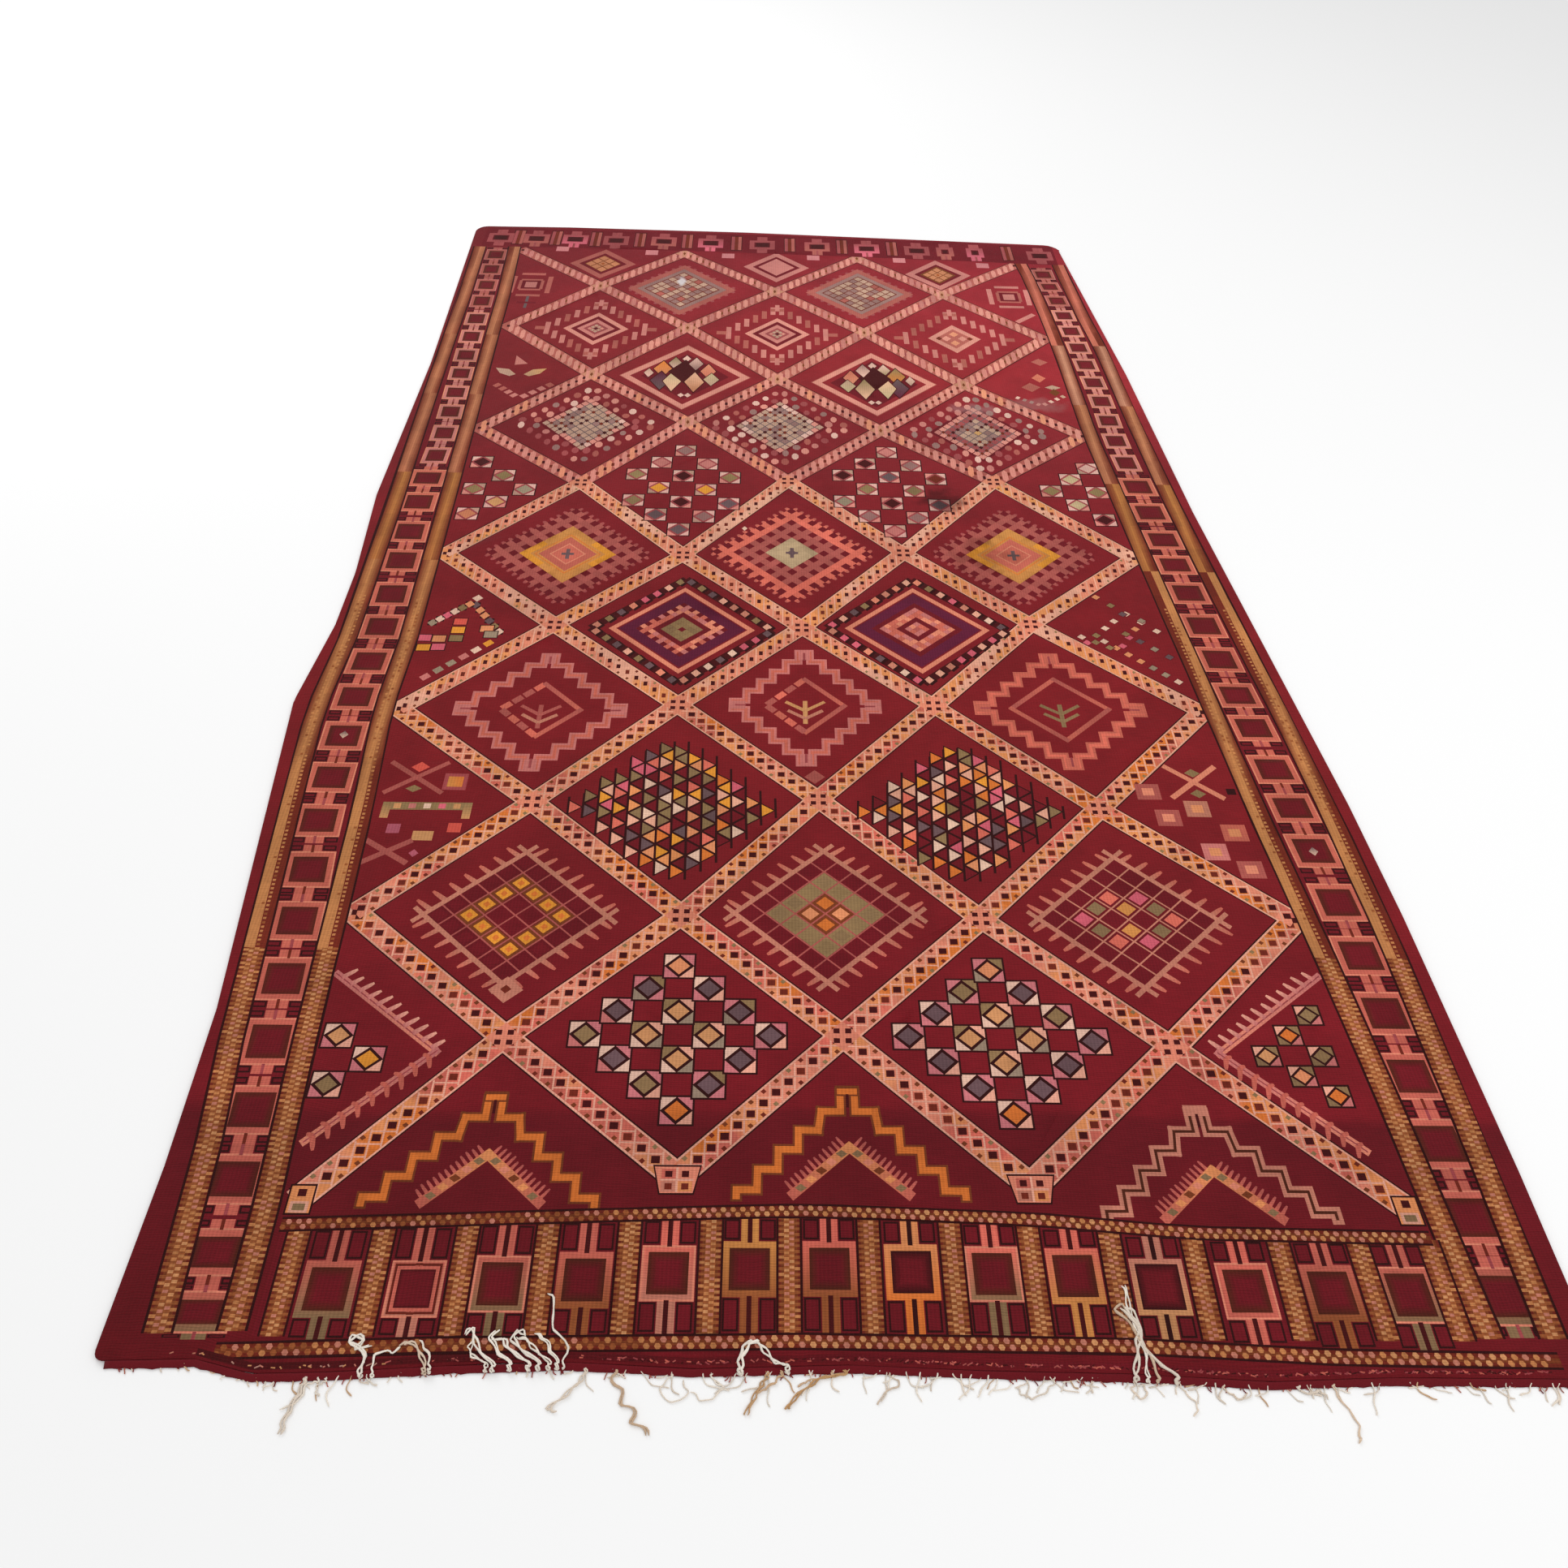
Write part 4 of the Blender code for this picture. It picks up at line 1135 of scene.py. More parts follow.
@dataclass
class BeadedLine:
    """A line of small tan beads on a dark ground, running across the cloth.

    Attributes:
        path: Rows of (across, along) down its middle.
        start: Where it starts across the cloth.
        stop: Where it stops.
        width: Its width.
        pitch: Distance from bead to bead.
    """

    path: Table
    start: float
    stop: float
    width: float
    pitch: float

    def weave(self, draft: Draft) -> None:
        """Lays the dark edges, the brown ground and two rows of beads, each row half a step on from the other."""
        count = round((self.stop - self.start) / 0.07)
        marks = [self.start + (self.stop - self.start) * n / count for n in range(count + 1)]
        for width, dye in ((self.width + 0.0065, Dye.INK), (self.width + 0.001, Dye.UMBER),
                           (self.width * 0.4, Dye.BARK)):
            low = [Vector((x, at(self.path, x) - width / 2)) for x in marks]
            high = [Vector((x, at(self.path, x) + width / 2)) for x in marks]
            draft.lay(low + high[::-1], dye, coarse=True)
        x = self.start + self.pitch / 2
        while x < self.stop - self.pitch / 2:
            for way in (-1, 1):
                px = x + way * self.pitch * 0.25
                y = at(self.path, px) + way * self.width * 0.27
                w, h = self.pitch * 0.31, self.width * 0.25
                dye = draft.dice.choice((Dye.TAN, Dye.SAND,
                                         Dye.CLAY) if x > -0.2 else (Dye.BRASS, Dye.SAND, Dye.CLAY, Dye.BRASS))
                draft.lay([Vector((px - w, y)), Vector((px - w * 0.4, y - h)), Vector((px + w * 0.6, y - h)),
                           Vector((px + w, y)), Vector((px + w * 0.4, y + h)), Vector((px - w * 0.6, y + h))], dye)
            x += self.pitch


@dataclass
class Key:
    """A squared ring with a double stem at its top and its foot, the unit of every border.

    Attributes:
        width: Width of the ring.
        height: Height of the ring.
        line: Width of its line.
        stem: Width of both stem lines and the gap between them.
        rise: Length of the stem at its top.
        soft: Width over which the ring's inside shades in from its line.
        drop: Length of the stem at its foot, if not the same.
        slit: Width of the gap between the stem's lines.
    """

    width: float
    height: float
    line: float
    stem: float
    rise: float
    soft: float = 0.011
    drop: float = 0.0
    slit: float = 0.006

    def weave(self, draft: Draft, place: Callable[[float, float], Vector], top: Dye, foot: Dye, inside: Dye = Dye.WINE,
              rim: Dye = Dye.BROWN, gap: Dye = Dye.UMBER, blocks: bool = True, edge: Dye | None = None) -> None:
        """Lays one key.

        Args:
            draft: The weaver's draft.
            place: Gives the place on the plan of a point given from the key's middle.
            top: Dye of its upper half.
            foot: Dye of its lower half.
            inside: Dye of the ring's inside.
            rim: Dye that shades in from the ring's line.
            gap: Dye between the stem's lines.
            blocks: Whether small dark blocks stand beside the stems.
            edge: Dye of the ring's outermost yarns, if not its own.
        """
        w, h = self.width / 2, self.height / 2
        run = (place(0, -h), place(0, h))

        def slab(x0: float, y0: float, x1: float, y1: float, dye: Dye, onto: Dye | None = None) -> None:
            """Lays a rectangle given from the key's middle."""
            corners = [place(x0, y0), place(x1, y0), place(x1, y1), place(x0, y1)]
            draft.lay(corners, dye, onto, run if onto else None, coarse=min(x1 - x0, y1 - y0) > 0.012)

        s, t, tall, deep = self.stem / 2, self.line, h + self.rise, h + (self.drop or self.rise)
        for y0, y1, dye in ((h, tall, top), (-deep, -h, foot)):
            if blocks:
                for x0, x1 in ((-w + 0.001, -s - 0.0015), (s + 0.0015, w - 0.001)):
                    slab(x0, y0 + 0.002, x1, y1 - 0.001, Dye.INK)
                    slab(x0 + 0.0026, y0 + 0.0046, x1 - 0.0026, y1 - 0.0036, Dye.WINE)
            slab(-s, y0, s, y1, dye)
        if edge:
            slab(-w, -h, w, h, edge)
        trim = 0.0026 if edge else 0.0
        slab(trim - w, trim - h, w - trim, h - trim, foot, top)
        inner = ((-w + t, -h + t), (w - t, -h + t), (w - t, h - t), (-w + t, h - t))
        for (x0, y0), (x1, y1) in zip(inner, inner[1:] + inner[:1]):
            soft = 1 - 2 * self.soft / (self.width - 2 * t)
            corners = [place(x0, y0), place(x1, y1), place(x1 * soft, y1 * soft), place(x0 * soft, y0 * soft)]
            start = place((x0 + x1) / 2, (y0 + y1) / 2)
            draft.lay(corners, rim, inside, (start, place((x0 + x1) / 2 * soft, (y0 + y1) / 2 * soft)))
        slab(*(value * soft for value in (*inner[0], *inner[2])), inside)
        notch = self.slit / 2
        for y0, y1 in ((h - t * 0.2, tall), (-deep, -h + t * 0.2)):
            slab(-notch, y0, notch, y1, gap)


SIDE_KEYS_LEFT = (2.553, 2.458, 2.360, 2.265, 2.164, 2.067, 1.970, 1.878, 1.786, 1.698, 1.603, 1.508, 1.416, 1.325,
                  1.217, 1.117, 1.007, 0.907, 0.807, 0.710, 0.610, 0.510, 0.413, 0.310, 0.210, 0.105, 0.000, -0.105,
                  -0.203, -0.298, -0.370)
SIDE_KEYS_RIGHT = (2.496, 2.420, 2.335, 2.249, 2.160, 2.070, 1.980, 1.890, 1.800, 1.710, 1.620, 1.527, 1.430, 1.330,
                   1.230, 1.143, 1.050, 0.947, 0.847, 0.747, 0.660, 0.557, 0.467, 0.373, 0.267, 0.165, 0.063, -0.040,
                   -0.142, -0.244, -0.344)


@dataclass
class Borders:
    """The four woven borders: a chain of keys between two plaited stripes at each side, keys between upright stripes
    at the near end, and a worn row of keys at the far end.
    """

    left_outer: Table = ((-0.40, -0.778), (-0.15, -0.795), (0.0, -0.813), (0.45, -0.852), (0.68, -0.871),
                         (0.88, -0.861),
                         (1.34, -0.870), (1.66, -0.880), (2.05, -0.889), (2.3, -0.892), (2.6, -0.9025))
    left_inner: Table = ((-0.40, -0.691), (-0.25, -0.693), (0.0, -0.709), (0.43, -0.730), (0.68, -0.750),
                         (0.88, -0.745),
                         (1.34, -0.758), (1.66, -0.768), (2.04, -0.781), (2.3, -0.787), (2.61, -0.803))
    left_chain: Table = ((-0.40, -0.734), (-0.20, -0.745), (0.0, -0.759), (0.31, -0.785), (0.41, -0.797),
                         (0.71, -0.808),
                         (0.90, -0.803), (1.32, -0.819), (1.60, -0.815), (2.06, -0.834), (2.55, -0.849))
    right_inner: Table = ((-0.40, 0.840), (-0.25, 0.833), (-0.017, 0.821), (0.20, 0.807), (0.42, 0.790), (0.68, 0.773),
                          (1.02, 0.750), (1.34, 0.730), (1.66, 0.710), (2.0, 0.705), (2.23, 0.697), (2.515, 0.678),
                          (2.654, 0.659))
    right_outer: Table = ((-0.40, 0.918), (-0.10, 0.922), (0.20, 0.921), (0.42, 0.913), (0.68, 0.897), (1.02, 0.869),
                          (1.34, 0.846), (1.66, 0.829), (2.04, 0.815), (2.23, 0.799), (2.547, 0.780))
    right_chain: Table = ((-0.40, 0.880), (-0.10, 0.873), (0.267, 0.865), (0.467, 0.850), (0.66, 0.835), (0.847, 0.820),
                          (1.05, 0.807), (1.34, 0.787), (1.62, 0.767), (1.80, 0.767), (2.16, 0.751), (2.335, 0.742),
                          (2.496, 0.726))
    upper_line: Table = ((-0.67, -0.263), (-0.28, -0.249), (0.0, -0.240), (0.30, -0.250), (0.50, -0.267),
                         (0.80, -0.272))
    key_line: Table = ((-0.59, -0.342), (-0.485, -0.3415), (-0.378, -0.335), (-0.28, -0.330), (-0.17, -0.321),
                       (-0.02, -0.3125),
                       (0.135, -0.318), (0.34, -0.3215), (0.445, -0.3345), (0.55, -0.339), (0.76, -0.343))
    lower_line: Table = ((-0.79, -0.417), (-0.71, -0.415), (-0.45, -0.407), (0.0, -0.401), (0.40, -0.405),
                         (0.65, -0.417),
                         (0.92, -0.420))
    uprights: tuple[float, ...] = (-0.642, -0.535, -0.429, -0.327, -0.223, -0.119, -0.019, 0.083, 0.188, 0.289, 0.393,
                                   0.499, 0.610, 0.713, 0.806)

    def weave(self, draft: Draft) -> None:
        """Lays all the borders."""
        self.sides(draft)
        self.near_end(draft)
        self.far_end(draft)

    def sides(self, draft: Draft) -> None:
        """The chains of keys and the stripes beside them."""
        for chain, keys in ((self.left_chain, SIDE_KEYS_LEFT), (self.right_chain, SIDE_KEYS_RIGHT)):
            ground = Stripe(chain, -0.395, keys[0] + 0.035, width=0.088, line=0)
            ground.run(draft, 0, 0.088, Dye.WINE, ground.start, ground.stop, 0.08, coarse=True)
            for n, along in enumerate(keys):
                before = keys[n - 1] if n else along + 0.096
                after = keys[n + 1] if n + 1 < len(keys) else along - 0.100
                pitch = (before - after) / 2
                height = 0.050 if along < -0.36 else pitch * 0.72
                far = along > 1.45
                key = Key(0.070 if far else 0.078, height, 0.0108, 0.030,
                          min(pitch - height, 0.027) / (4 if along < -0.36 else 2), slit=0.0046)
                dye = Dye.BRICK if along > 2.25 else Dye.ROSE if far else Dye.CORAL
                last = n + 1 == len(keys)
                slope = 0.85 if far else 1.0

                def place(x: float, y: float, chain: Table = chain, along: float = along,
                          slope: float = slope) -> Vector:
                    """The place on the plan of a point given from this key's middle."""
                    return Vector((at(chain, along + y) + x * slope, along + y))

                key.weave(draft, place, dye, Dye.MOSS if last else dye, gap=Dye.UMBER if n % 2 else Dye.DUSK,
                          edge=Dye.ROSE if along > 2.25 else Dye.FLESH)
            for along in (0.613,) if keys is SIDE_KEYS_LEFT else (0.372,):
                draft.lay(rhomb(at(chain, along), along, 0.008, 0.009), Dye.CREAM, Dye.SLATE,
                          (Vector((0, along - 0.008)), Vector((0, along + 0.008))))
        for path, start, stop in ((self.left_outer, -0.395, 2.605), (self.left_inner, -0.392, 2.615),
                                  (self.right_inner, -0.395, 2.650), (self.right_outer, -0.395, 2.560)):
            Stripe(path, start, stop).weave(draft)

    def near_end(self, draft: Draft) -> None:
        """The keys and upright stripes between two beaded lines."""
        foot = -0.398
        ground = [Vector((x, at(self.upper_line, x))) for x in (-0.665, -0.28, 0.0, 0.3, 0.5, 0.812)]
        ground += [Vector((0.812, foot)), Vector((-0.665, foot))]
        draft.lay(ground, Dye.WINE, coarse=True)
        pairs = ((Dye.CORAL, Dye.MOSS), (Dye.CORAL, Dye.SAND), (Dye.CORAL, Dye.MOSS), (Dye.CORAL, Dye.BRASS),
                 (Dye.SALMON, Dye.SAND),
                 (Dye.HONEY, Dye.BRASS), (Dye.SALMON, Dye.BRASS), (Dye.APRICOT, Dye.ORANGE), (Dye.SALMON, Dye.MOSS),
                 (Dye.SALMON, Dye.HONEY), (Dye.SAND, Dye.TAN), (Dye.SALMON, Dye.CORAL), (Dye.CORAL, Dye.BRASS),
                 (Dye.CORAL, Dye.MOSS))
        for n, (upper, lower) in enumerate(pairs):
            x = (self.uprights[n] + self.uprights[n + 1]) / 2
            middle, tall = at(self.key_line, x), 0.069
            rise, drop = at(self.upper_line,
                            x) - 0.009 - middle - tall / 2, middle - tall / 2 - at(self.lower_line, x) - 0.010

            def place(px: float, py: float, x: float = x, middle: float = middle) -> Vector:
                """The place on the plan of a point given from this key's middle."""
                return Vector((x + px, middle + py))

            black = n in (7, 10)
            key = Key(0.068, tall, 0.0066 if n == 10 else 0.0084, 0.0225, rise, 0.012, drop, 0.0062)
            key.weave(draft, place, upper, lower, rim=Dye.INK if black else Dye.BROWN,
                      gap=Dye.INK if black else Dye.DARK,
                      edge=Dye.FLESH if upper in (Dye.CORAL, Dye.SALMON) and n % 3 else None)
            if n == 1:
                for width, dye in ((0.059, Dye.UMBER), (0.053, Dye.CORAL)):
                    Key(width, width + 0.002, 0.0022 if dye is Dye.UMBER else 0.0044, 0.0090, 0.0005, 0.004,
                        slit=0.001).weave(
                        draft, place, dye, dye, rim=Dye.DARK, blocks=False)
        for x in self.uprights:
            Stripe(((-0.5, x), (0.0, x)), foot, at(self.upper_line, x) - 0.002, width=0.0275, bar=0.0072,
                   line=0.0028).weave(draft)
        BeadedLine(self.upper_line, -0.668, 0.812, 0.0128, 0.0126).weave(draft)
        BeadedLine(self.lower_line, -0.704, 0.915, 0.0138, 0.0134).weave(draft)
        hem = [Vector((x, y + 0.0075)) for x, y in Outline.near if -0.84 < x < 0.96]
        draft.lay([p + Vector((0, 0.004)) for p in hem] + [p - Vector((0, 0.004)) for p in hem[::-1]], Dye.DARK,
                  Dye.WINE,
                  (Vector((-0.8, 0)), Vector((0.4, 0))))
        for n in range(420):
            x = -0.78 + 1.68 * draft.dice.random() ** 0.6
            y = at(Outline.near, x) + draft.dice.uniform(0.0050, 0.0078)
            tan = (Dye.TAN, Dye.SAND, Dye.FAWN) if x < -0.5 else (Dye.BRICK, Dye.DUSK, Dye.CORAL, Dye.DARK, Dye.DARK)
            turn = Vector((draft.dice.uniform(0.001, 0.0032), draft.dice.uniform(-0.0016, 0.0016)))
            draft.lay(strip(Vector((x, y)) - turn, Vector((x, y)) + turn, 0.0015), draft.dice.choice(tan))

    def far_end(self, draft: Draft) -> None:
        """The worn keys, the upright bars between them and the small pink squares under them."""
        edge = ((-0.90, 2.728), (-0.30, 2.722), (0.0, 2.712), (0.30, 2.700), (0.55, 2.690), (0.78, 2.676))
        base = [Vector((x, y + 0.008)) for x, y in edge]
        draft.lay(base + [Vector((x, at(edge, x) - 0.118)) for x, _ in edge[::-1]], Dye.WINE, coarse=True)
        keys = (-0.852, -0.747, -0.633, -0.513, -0.372, -0.234, -0.082, 0.080, 0.226, 0.374, 0.457, 0.545, 0.735)
        for a, b in zip(keys, keys[1:]):
            if b - a > 0.10:
                x = (a + b) / 2
                y = at(edge, x) - 0.054
                draft.lay(box(x, y, 0.034, 0.098), Dye.DARK)
                for way, dye in ((-1, Dye.DUSK), (1, Dye.BRICK), (0, Dye.UMBER)):
                    draft.lay(box(x + way * 0.010, y, 0.0095, 0.090), dye)
        for n, x in enumerate(keys):
            y = at(edge, x) - 0.060
            dye = (Dye.DUSK, Dye.BRICK, Dye.PINK)[n % 3]

            def place(px: float, py: float, x: float = x, y: float = y) -> Vector:
                """The place on the plan of a point given from this key's middle."""
                return Vector((x + px, y + py))

            wide = 0.050 if 0.40 < x < 0.60 else 0.074
            Key(wide, 0.060, 0.014, 0.030, 0.024, 0.006).weave(draft, place, Dye.DUSK, dye, gap=Dye.DUSK,
                                                               blocks=False, rim=Dye.WINE, inside=Dye.DARK)
        for x, y in ((-0.662, 2.600), (-0.402, 2.585), (-0.180, 2.578), (0.067, 2.575), (0.317, 2.570), (0.558, 2.547)):
            draft.lay(box(x, y, 0.036, 0.030), Dye.BLOSSOM, coarse=True)


@dataclass
class Outline:
    """The woven outline on the plan, from the two selvedges and the two ends.

    Attributes:
        left: Rows of (along, across) up the left selvedge.
        right: Rows of (along, across) up the right selvedge.
        near: Rows of (across, along) over the near end.
        far: Rows of (across, along) over the far end.
        near_round: Radius of the two near corners.
        far_round: Radius of the two far corners.
        step: Distance between the outline's points.
    """

    left: Table = ((-0.432, -0.845), (-0.182, -0.843), (0.048, -0.850), (0.248, -0.870), (0.488, -0.896),
                   (0.698, -0.917),
                   (0.908, -0.896), (1.078, -0.896), (1.348, -0.916), (1.698, -0.911), (1.928, -0.912), (2.248, -0.920),
                   (2.498, -0.928), (2.748, -0.935))
    right: Table = ((-0.432, 0.965), (-0.182, 0.967), (0.048, 0.965), (0.248, 0.960), (0.488, 0.950), (0.698, 0.934),
                    (0.908, 0.918), (1.078, 0.904), (1.348, 0.884), (1.698, 0.868), (1.928, 0.856), (2.248, 0.832),
                    (2.498, 0.811), (2.748, 0.790))
    near: Table = ((-0.944, -0.428), (-0.724, -0.423), (-0.654, -0.439), (-0.564, -0.437), (-0.434, -0.430),
                   (-0.284, -0.425), (-0.134, -0.432), (0.056, -0.427), (0.216, -0.433), (0.396, -0.436),
                   (0.556, -0.444),
                   (0.696, -0.439), (0.976, -0.440))
    far: Table = ((-0.944, 2.746), (-0.724, 2.748), (-0.654, 2.748), (-0.564, 2.747), (-0.434, 2.746), (-0.284, 2.744),
                  (-0.134, 2.740), (0.056, 2.732), (0.216, 2.724), (0.396, 2.715), (0.556, 2.706), (0.696, 2.698),
                  (0.976, 2.684))
    near_round: float = 0.012
    far_round: float = 0.034
    step: float = 0.020

    def points(self) -> Corners:
        """Returns the outline's points, anticlockwise, with its corners rounded."""
        corners = [(self.left[0][1], at(self.near, self.left[0][1])),
                   (self.right[0][1], at(self.near, self.right[0][1])),
                   (self.right[-1][1], at(self.far, self.right[-1][1])),
                   (self.left[-1][1], at(self.far, self.left[-1][1]))]
        sides = []
        for index, (start, stop) in enumerate(zip(corners, corners[1:] + corners[:1])):
            count = round(math.dist(start, stop) / self.step)
            side = []
            for n in range(count):
                x, y = (a + (b - a) * n / count for a, b in zip(start, stop))
                if index == 0:
                    y = at(self.near, x)
                elif index == 1:
                    x = at(self.right, y)
                elif index == 2:
                    y = at(self.far, x)
                else:
                    x = at(self.left, y)
                side.append(Vector((x, y)))
            sides.append(side)
        shape: Corners = []
        for index, side in enumerate(sides):
            radius = self.near_round if index < 2 else self.far_round
            corner, before, after = side[0], sides[index - 1][-1], side[1]
            start = corner + (before - corner).normalized() * radius
            stop = corner + (after - corner).normalized() * radius
            middle = (start + stop) / 2
            swing = middle + (corner - middle) * 0.42
            shape += [start, start.lerp(swing, 0.5) + (corner - middle) * 0.10, swing,
                      stop.lerp(swing, 0.5) + (corner - middle) * 0.10, stop]
            last = sides[(index + 1) % 4][0]
            reach = self.near_round if index == 0 else self.far_round
            shape += [p for p in side[1:] if (p - corner).length > radius + 0.006
                      and (p - last).length > reach + 0.006]
        return shape


def outward(points: Corners) -> Corners:
    """The outward direction at each point of an anticlockwise outline."""
    ways = []
    for index in range(len(points)):
        ahead = (points[(index + 1) % len(points)] - points[index - 1]).normalized()
        ways.append(Vector((ahead.y, -ahead.x)))
    return ways


def showing(spots: Corners, triangles: Sequence[Sequence[int]], outline: Corners,
            patches: Sequence[Patch]) -> list[int]:
    """Finds which patch shows at each triangle of a cut sheet.

    Args:
        spots: The sheet's points.
        triangles: Its triangles.
        outline: Its outline.
        patches: The patches, each covering those before it.

    Returns:
        For each triangle one more than the patch's number, 0 for bare ground or -1 outside the outline.
    """
    middles = np.array([tuple(p) for p in spots])[np.array(triangles)].mean(axis=1)
    order = np.argsort(middles[:, 1])
    x, y = middles[order].T
    lots = np.full(len(order), -1, dtype=np.int32)
    for number, corners in enumerate((outline, *(p.corners for p in patches))):
        shape = np.array([tuple(c) for c in corners])
        low, high = np.searchsorted(y, (shape[:, 1].min(), shape[:, 1].max()))
        near = low + np.flatnonzero((x[low:high] >= shape[:, 0].min()) & (x[low:high] <= shape[:, 0].max()))
        if number:
            near = near[lots[near] >= 0]
        px, py = x[near][:, None], y[near][:, None]
        a, b = shape, np.roll(shape, -1, axis=0)
        crosses = (a[:, 1] > py) != (b[:, 1] > py)
        with np.errstate(divide="ignore", invalid="ignore"):
            reach = a[:, 0] + (py - a[:, 1]) * (b[:, 0] - a[:, 0]) / (b[:, 1] - a[:, 1])
        inside = (crosses & (px < reach)).sum(axis=1) % 2 == 1
        lots[near[inside]] = number
    found = np.empty_like(lots)
    found[order] = lots
    return found.tolist()


@dataclass
class Cloth:
    """The woven cloth: a sheet cut along every patch of the draft, with a rounded rim and a flat underside.

    Attributes:
        draft: The weaver's draft.
        shift: Step from the plan to the row frame.
        thickness: Its thickness.
        inset: How far the top's flat part stops inside the outline.
        pace: Size of the loose grid that lets it ripple.
        ripple: Height of its ripples.
        relax: Height of its slow waves.
        woven: Its length on the loom's map.
        brocade_fade: How far the brocade's dyes have faded, for red, green and blue.
        ground_fade: How far the ground's have.
    """

    draft: Draft
    shift: Vector
    thickness: float = 0.0060
    inset: float = 0.0022
    pace: float = 0.030
    ripple: float = 0.0006
    relax: float = 0.0013
    woven: float = 3.17
    brocade_fade: tuple[float, float, float] = (0.93, 0.86, 0.97)
    ground_fade: tuple[float, float, float] = (1.0, 0.90, 0.96)

    def cut(self, outline: Corners, patches: Sequence[Patch],
            pace: float) -> tuple[Corners, list[list[int]], list[int]]:
        """Cuts a flat sheet along every patch that shows.

        Args:
            outline: Its outline.
            patches: The patches, each covering those before it.
            pace: Size of the loose grid between them.

        Returns:
            Its points, its triangles and, for each triangle, one more than the number of the patch that shows, or 0
            for bare ground.
        """
        spots: Corners = []
        edges: list[tuple[int, int]] = []
        for corners in (outline, *(p.corners for p in patches)):
            first, count = len(spots), len(corners)
            edges += [(first + n, first + (n + 1) % count) for n in range(count)]
            spots += corners
        spots, _, triangles, *_ = delaunay_2d_cdt(spots, edges, [], 0, 2e-5, False)
        lots = showing(spots, triangles, outline, patches)
        form = bmesh.new()
        verts = [form.verts.new((p.x, p.y, 0.0)) for p in spots]
        for triangle, number in zip(triangles, lots):
            if number >= 0:
                form.faces.new([verts[i] for i in triangle]).material_index = number
        form.normal_update()
        bmesh.ops.dissolve_limit(form, angle_limit=0.02, verts=form.verts[:], edges=form.edges[:], delimit={"MATERIAL"})
        form.verts.index_update()
        spots = [v.co.xy for v in form.verts if v.link_edges]
        place = {v.index: n for n, v in enumerate(v for v in form.verts if v.link_edges)}
        edges = [(place[e.verts[0].index], place[e.verts[1].index]) for e in form.edges]
        form.free()
        spots += self.loose_grid(outline, pace)
        spots, _, triangles, *_ = delaunay_2d_cdt(spots, edges, [], 0, 1e-6, False)
        lots = showing(spots, triangles, outline, patches)
        kept = [(list(t), n) for t, n in zip(triangles, lots) if n >= 0]
        return spots, [t for t, _ in kept], [n for _, n in kept]

    def loose_grid(self, outline: Corners, pace: float) -> Corners:
        """Points all over the cloth, in staggered rows, between which it can ripple."""
        across, along = (sorted(p[axis] for p in outline) for axis in (0, 1))
        rows, columns = round((along[-1] - along[0]) / pace), round((across[-1] - across[0]) / pace)
        points = []
        for row in range(1, rows):
            y = along[0] + (along[-1] - along[0]) * row / rows
            for column in range(1, columns):
                x = across[0] + (across[-1] - across[0]) * (column + 0.5 * (row % 2)) / columns
                inside = at(Outline.left, y) + 0.02 < x < at(Outline.right, y) - 0.02
                if inside and at(Outline.near, x) + 0.02 < y < at(Outline.far, x) - 0.02:
                    points.append(Vector((x, y)))
        return points

    def height(self, x: float, y: float) -> float:
        """How far the top stands over the floor at a place on the plan."""
        fine = noise.noise(Vector((x * 95, y * 95, 1.7))) * self.ripple
        slow = noise.noise(Vector((x * 8.5, y * 6.0, 4.2))) * self.relax
        return self.thickness - 0.0004 + fine + max(slow, -0.0010)

    def build(self) -> bpy.types.Object:
        """Cuts the top and the underside, joins them by a rounded rim and gives the corners their dyes.

        Returns:
            The cloth.
        """
        outer = Outline().points()
        ways = outward(outer)
        inner = [p - w * self.inset for p, w in zip(outer, ways)]
        spots, triangles, tops = self.cut(inner, self.draft.patches, self.pace)
        coarse = [(n + 1, p) for n, p in enumerate(self.draft.patches) if p.coarse]
        under_spots, under_triangles, under_tops = self.cut(inner, [p for _, p in coarse], 0.06)
        numbers = [0] + [n for n, _ in coarse]
        form = bmesh.new()
        lot = form.faces.layers.int.new("lot")
        for points, faces, lots, up in ((spots, triangles, tops, True),
                                        (under_spots, under_triangles, [numbers[t] for t in under_tops], False)):
            corners = [form.verts.new((p.x, p.y, self.height(p.x, p.y) if up else 0.0)) for p in points]
            for triangle, number in zip(faces, lots):
                ends = triangle if up else triangle[::-1]
                form.faces.new([corners[i] for i in ends])[lot] = number
            loose = [v for v in corners if not v.link_faces]
            bmesh.ops.delete(form, geom=loose, context="VERTS")
        self.close_rim(form, inner, ways)
        mesh = bpy.data.meshes.new("rug_cloth")
        form.to_mesh(mesh)
        form.free()
        self.dye(mesh)
        self.chart(mesh)
        mesh.transform(Matrix.Translation(self.shift))
        cloth = bpy.data.objects.new("rug_cloth", mesh)
        bpy.context.scene.collection.objects.link(cloth)
        for polygon in mesh.polygons:
            polygon.use_smooth = True
        return cloth

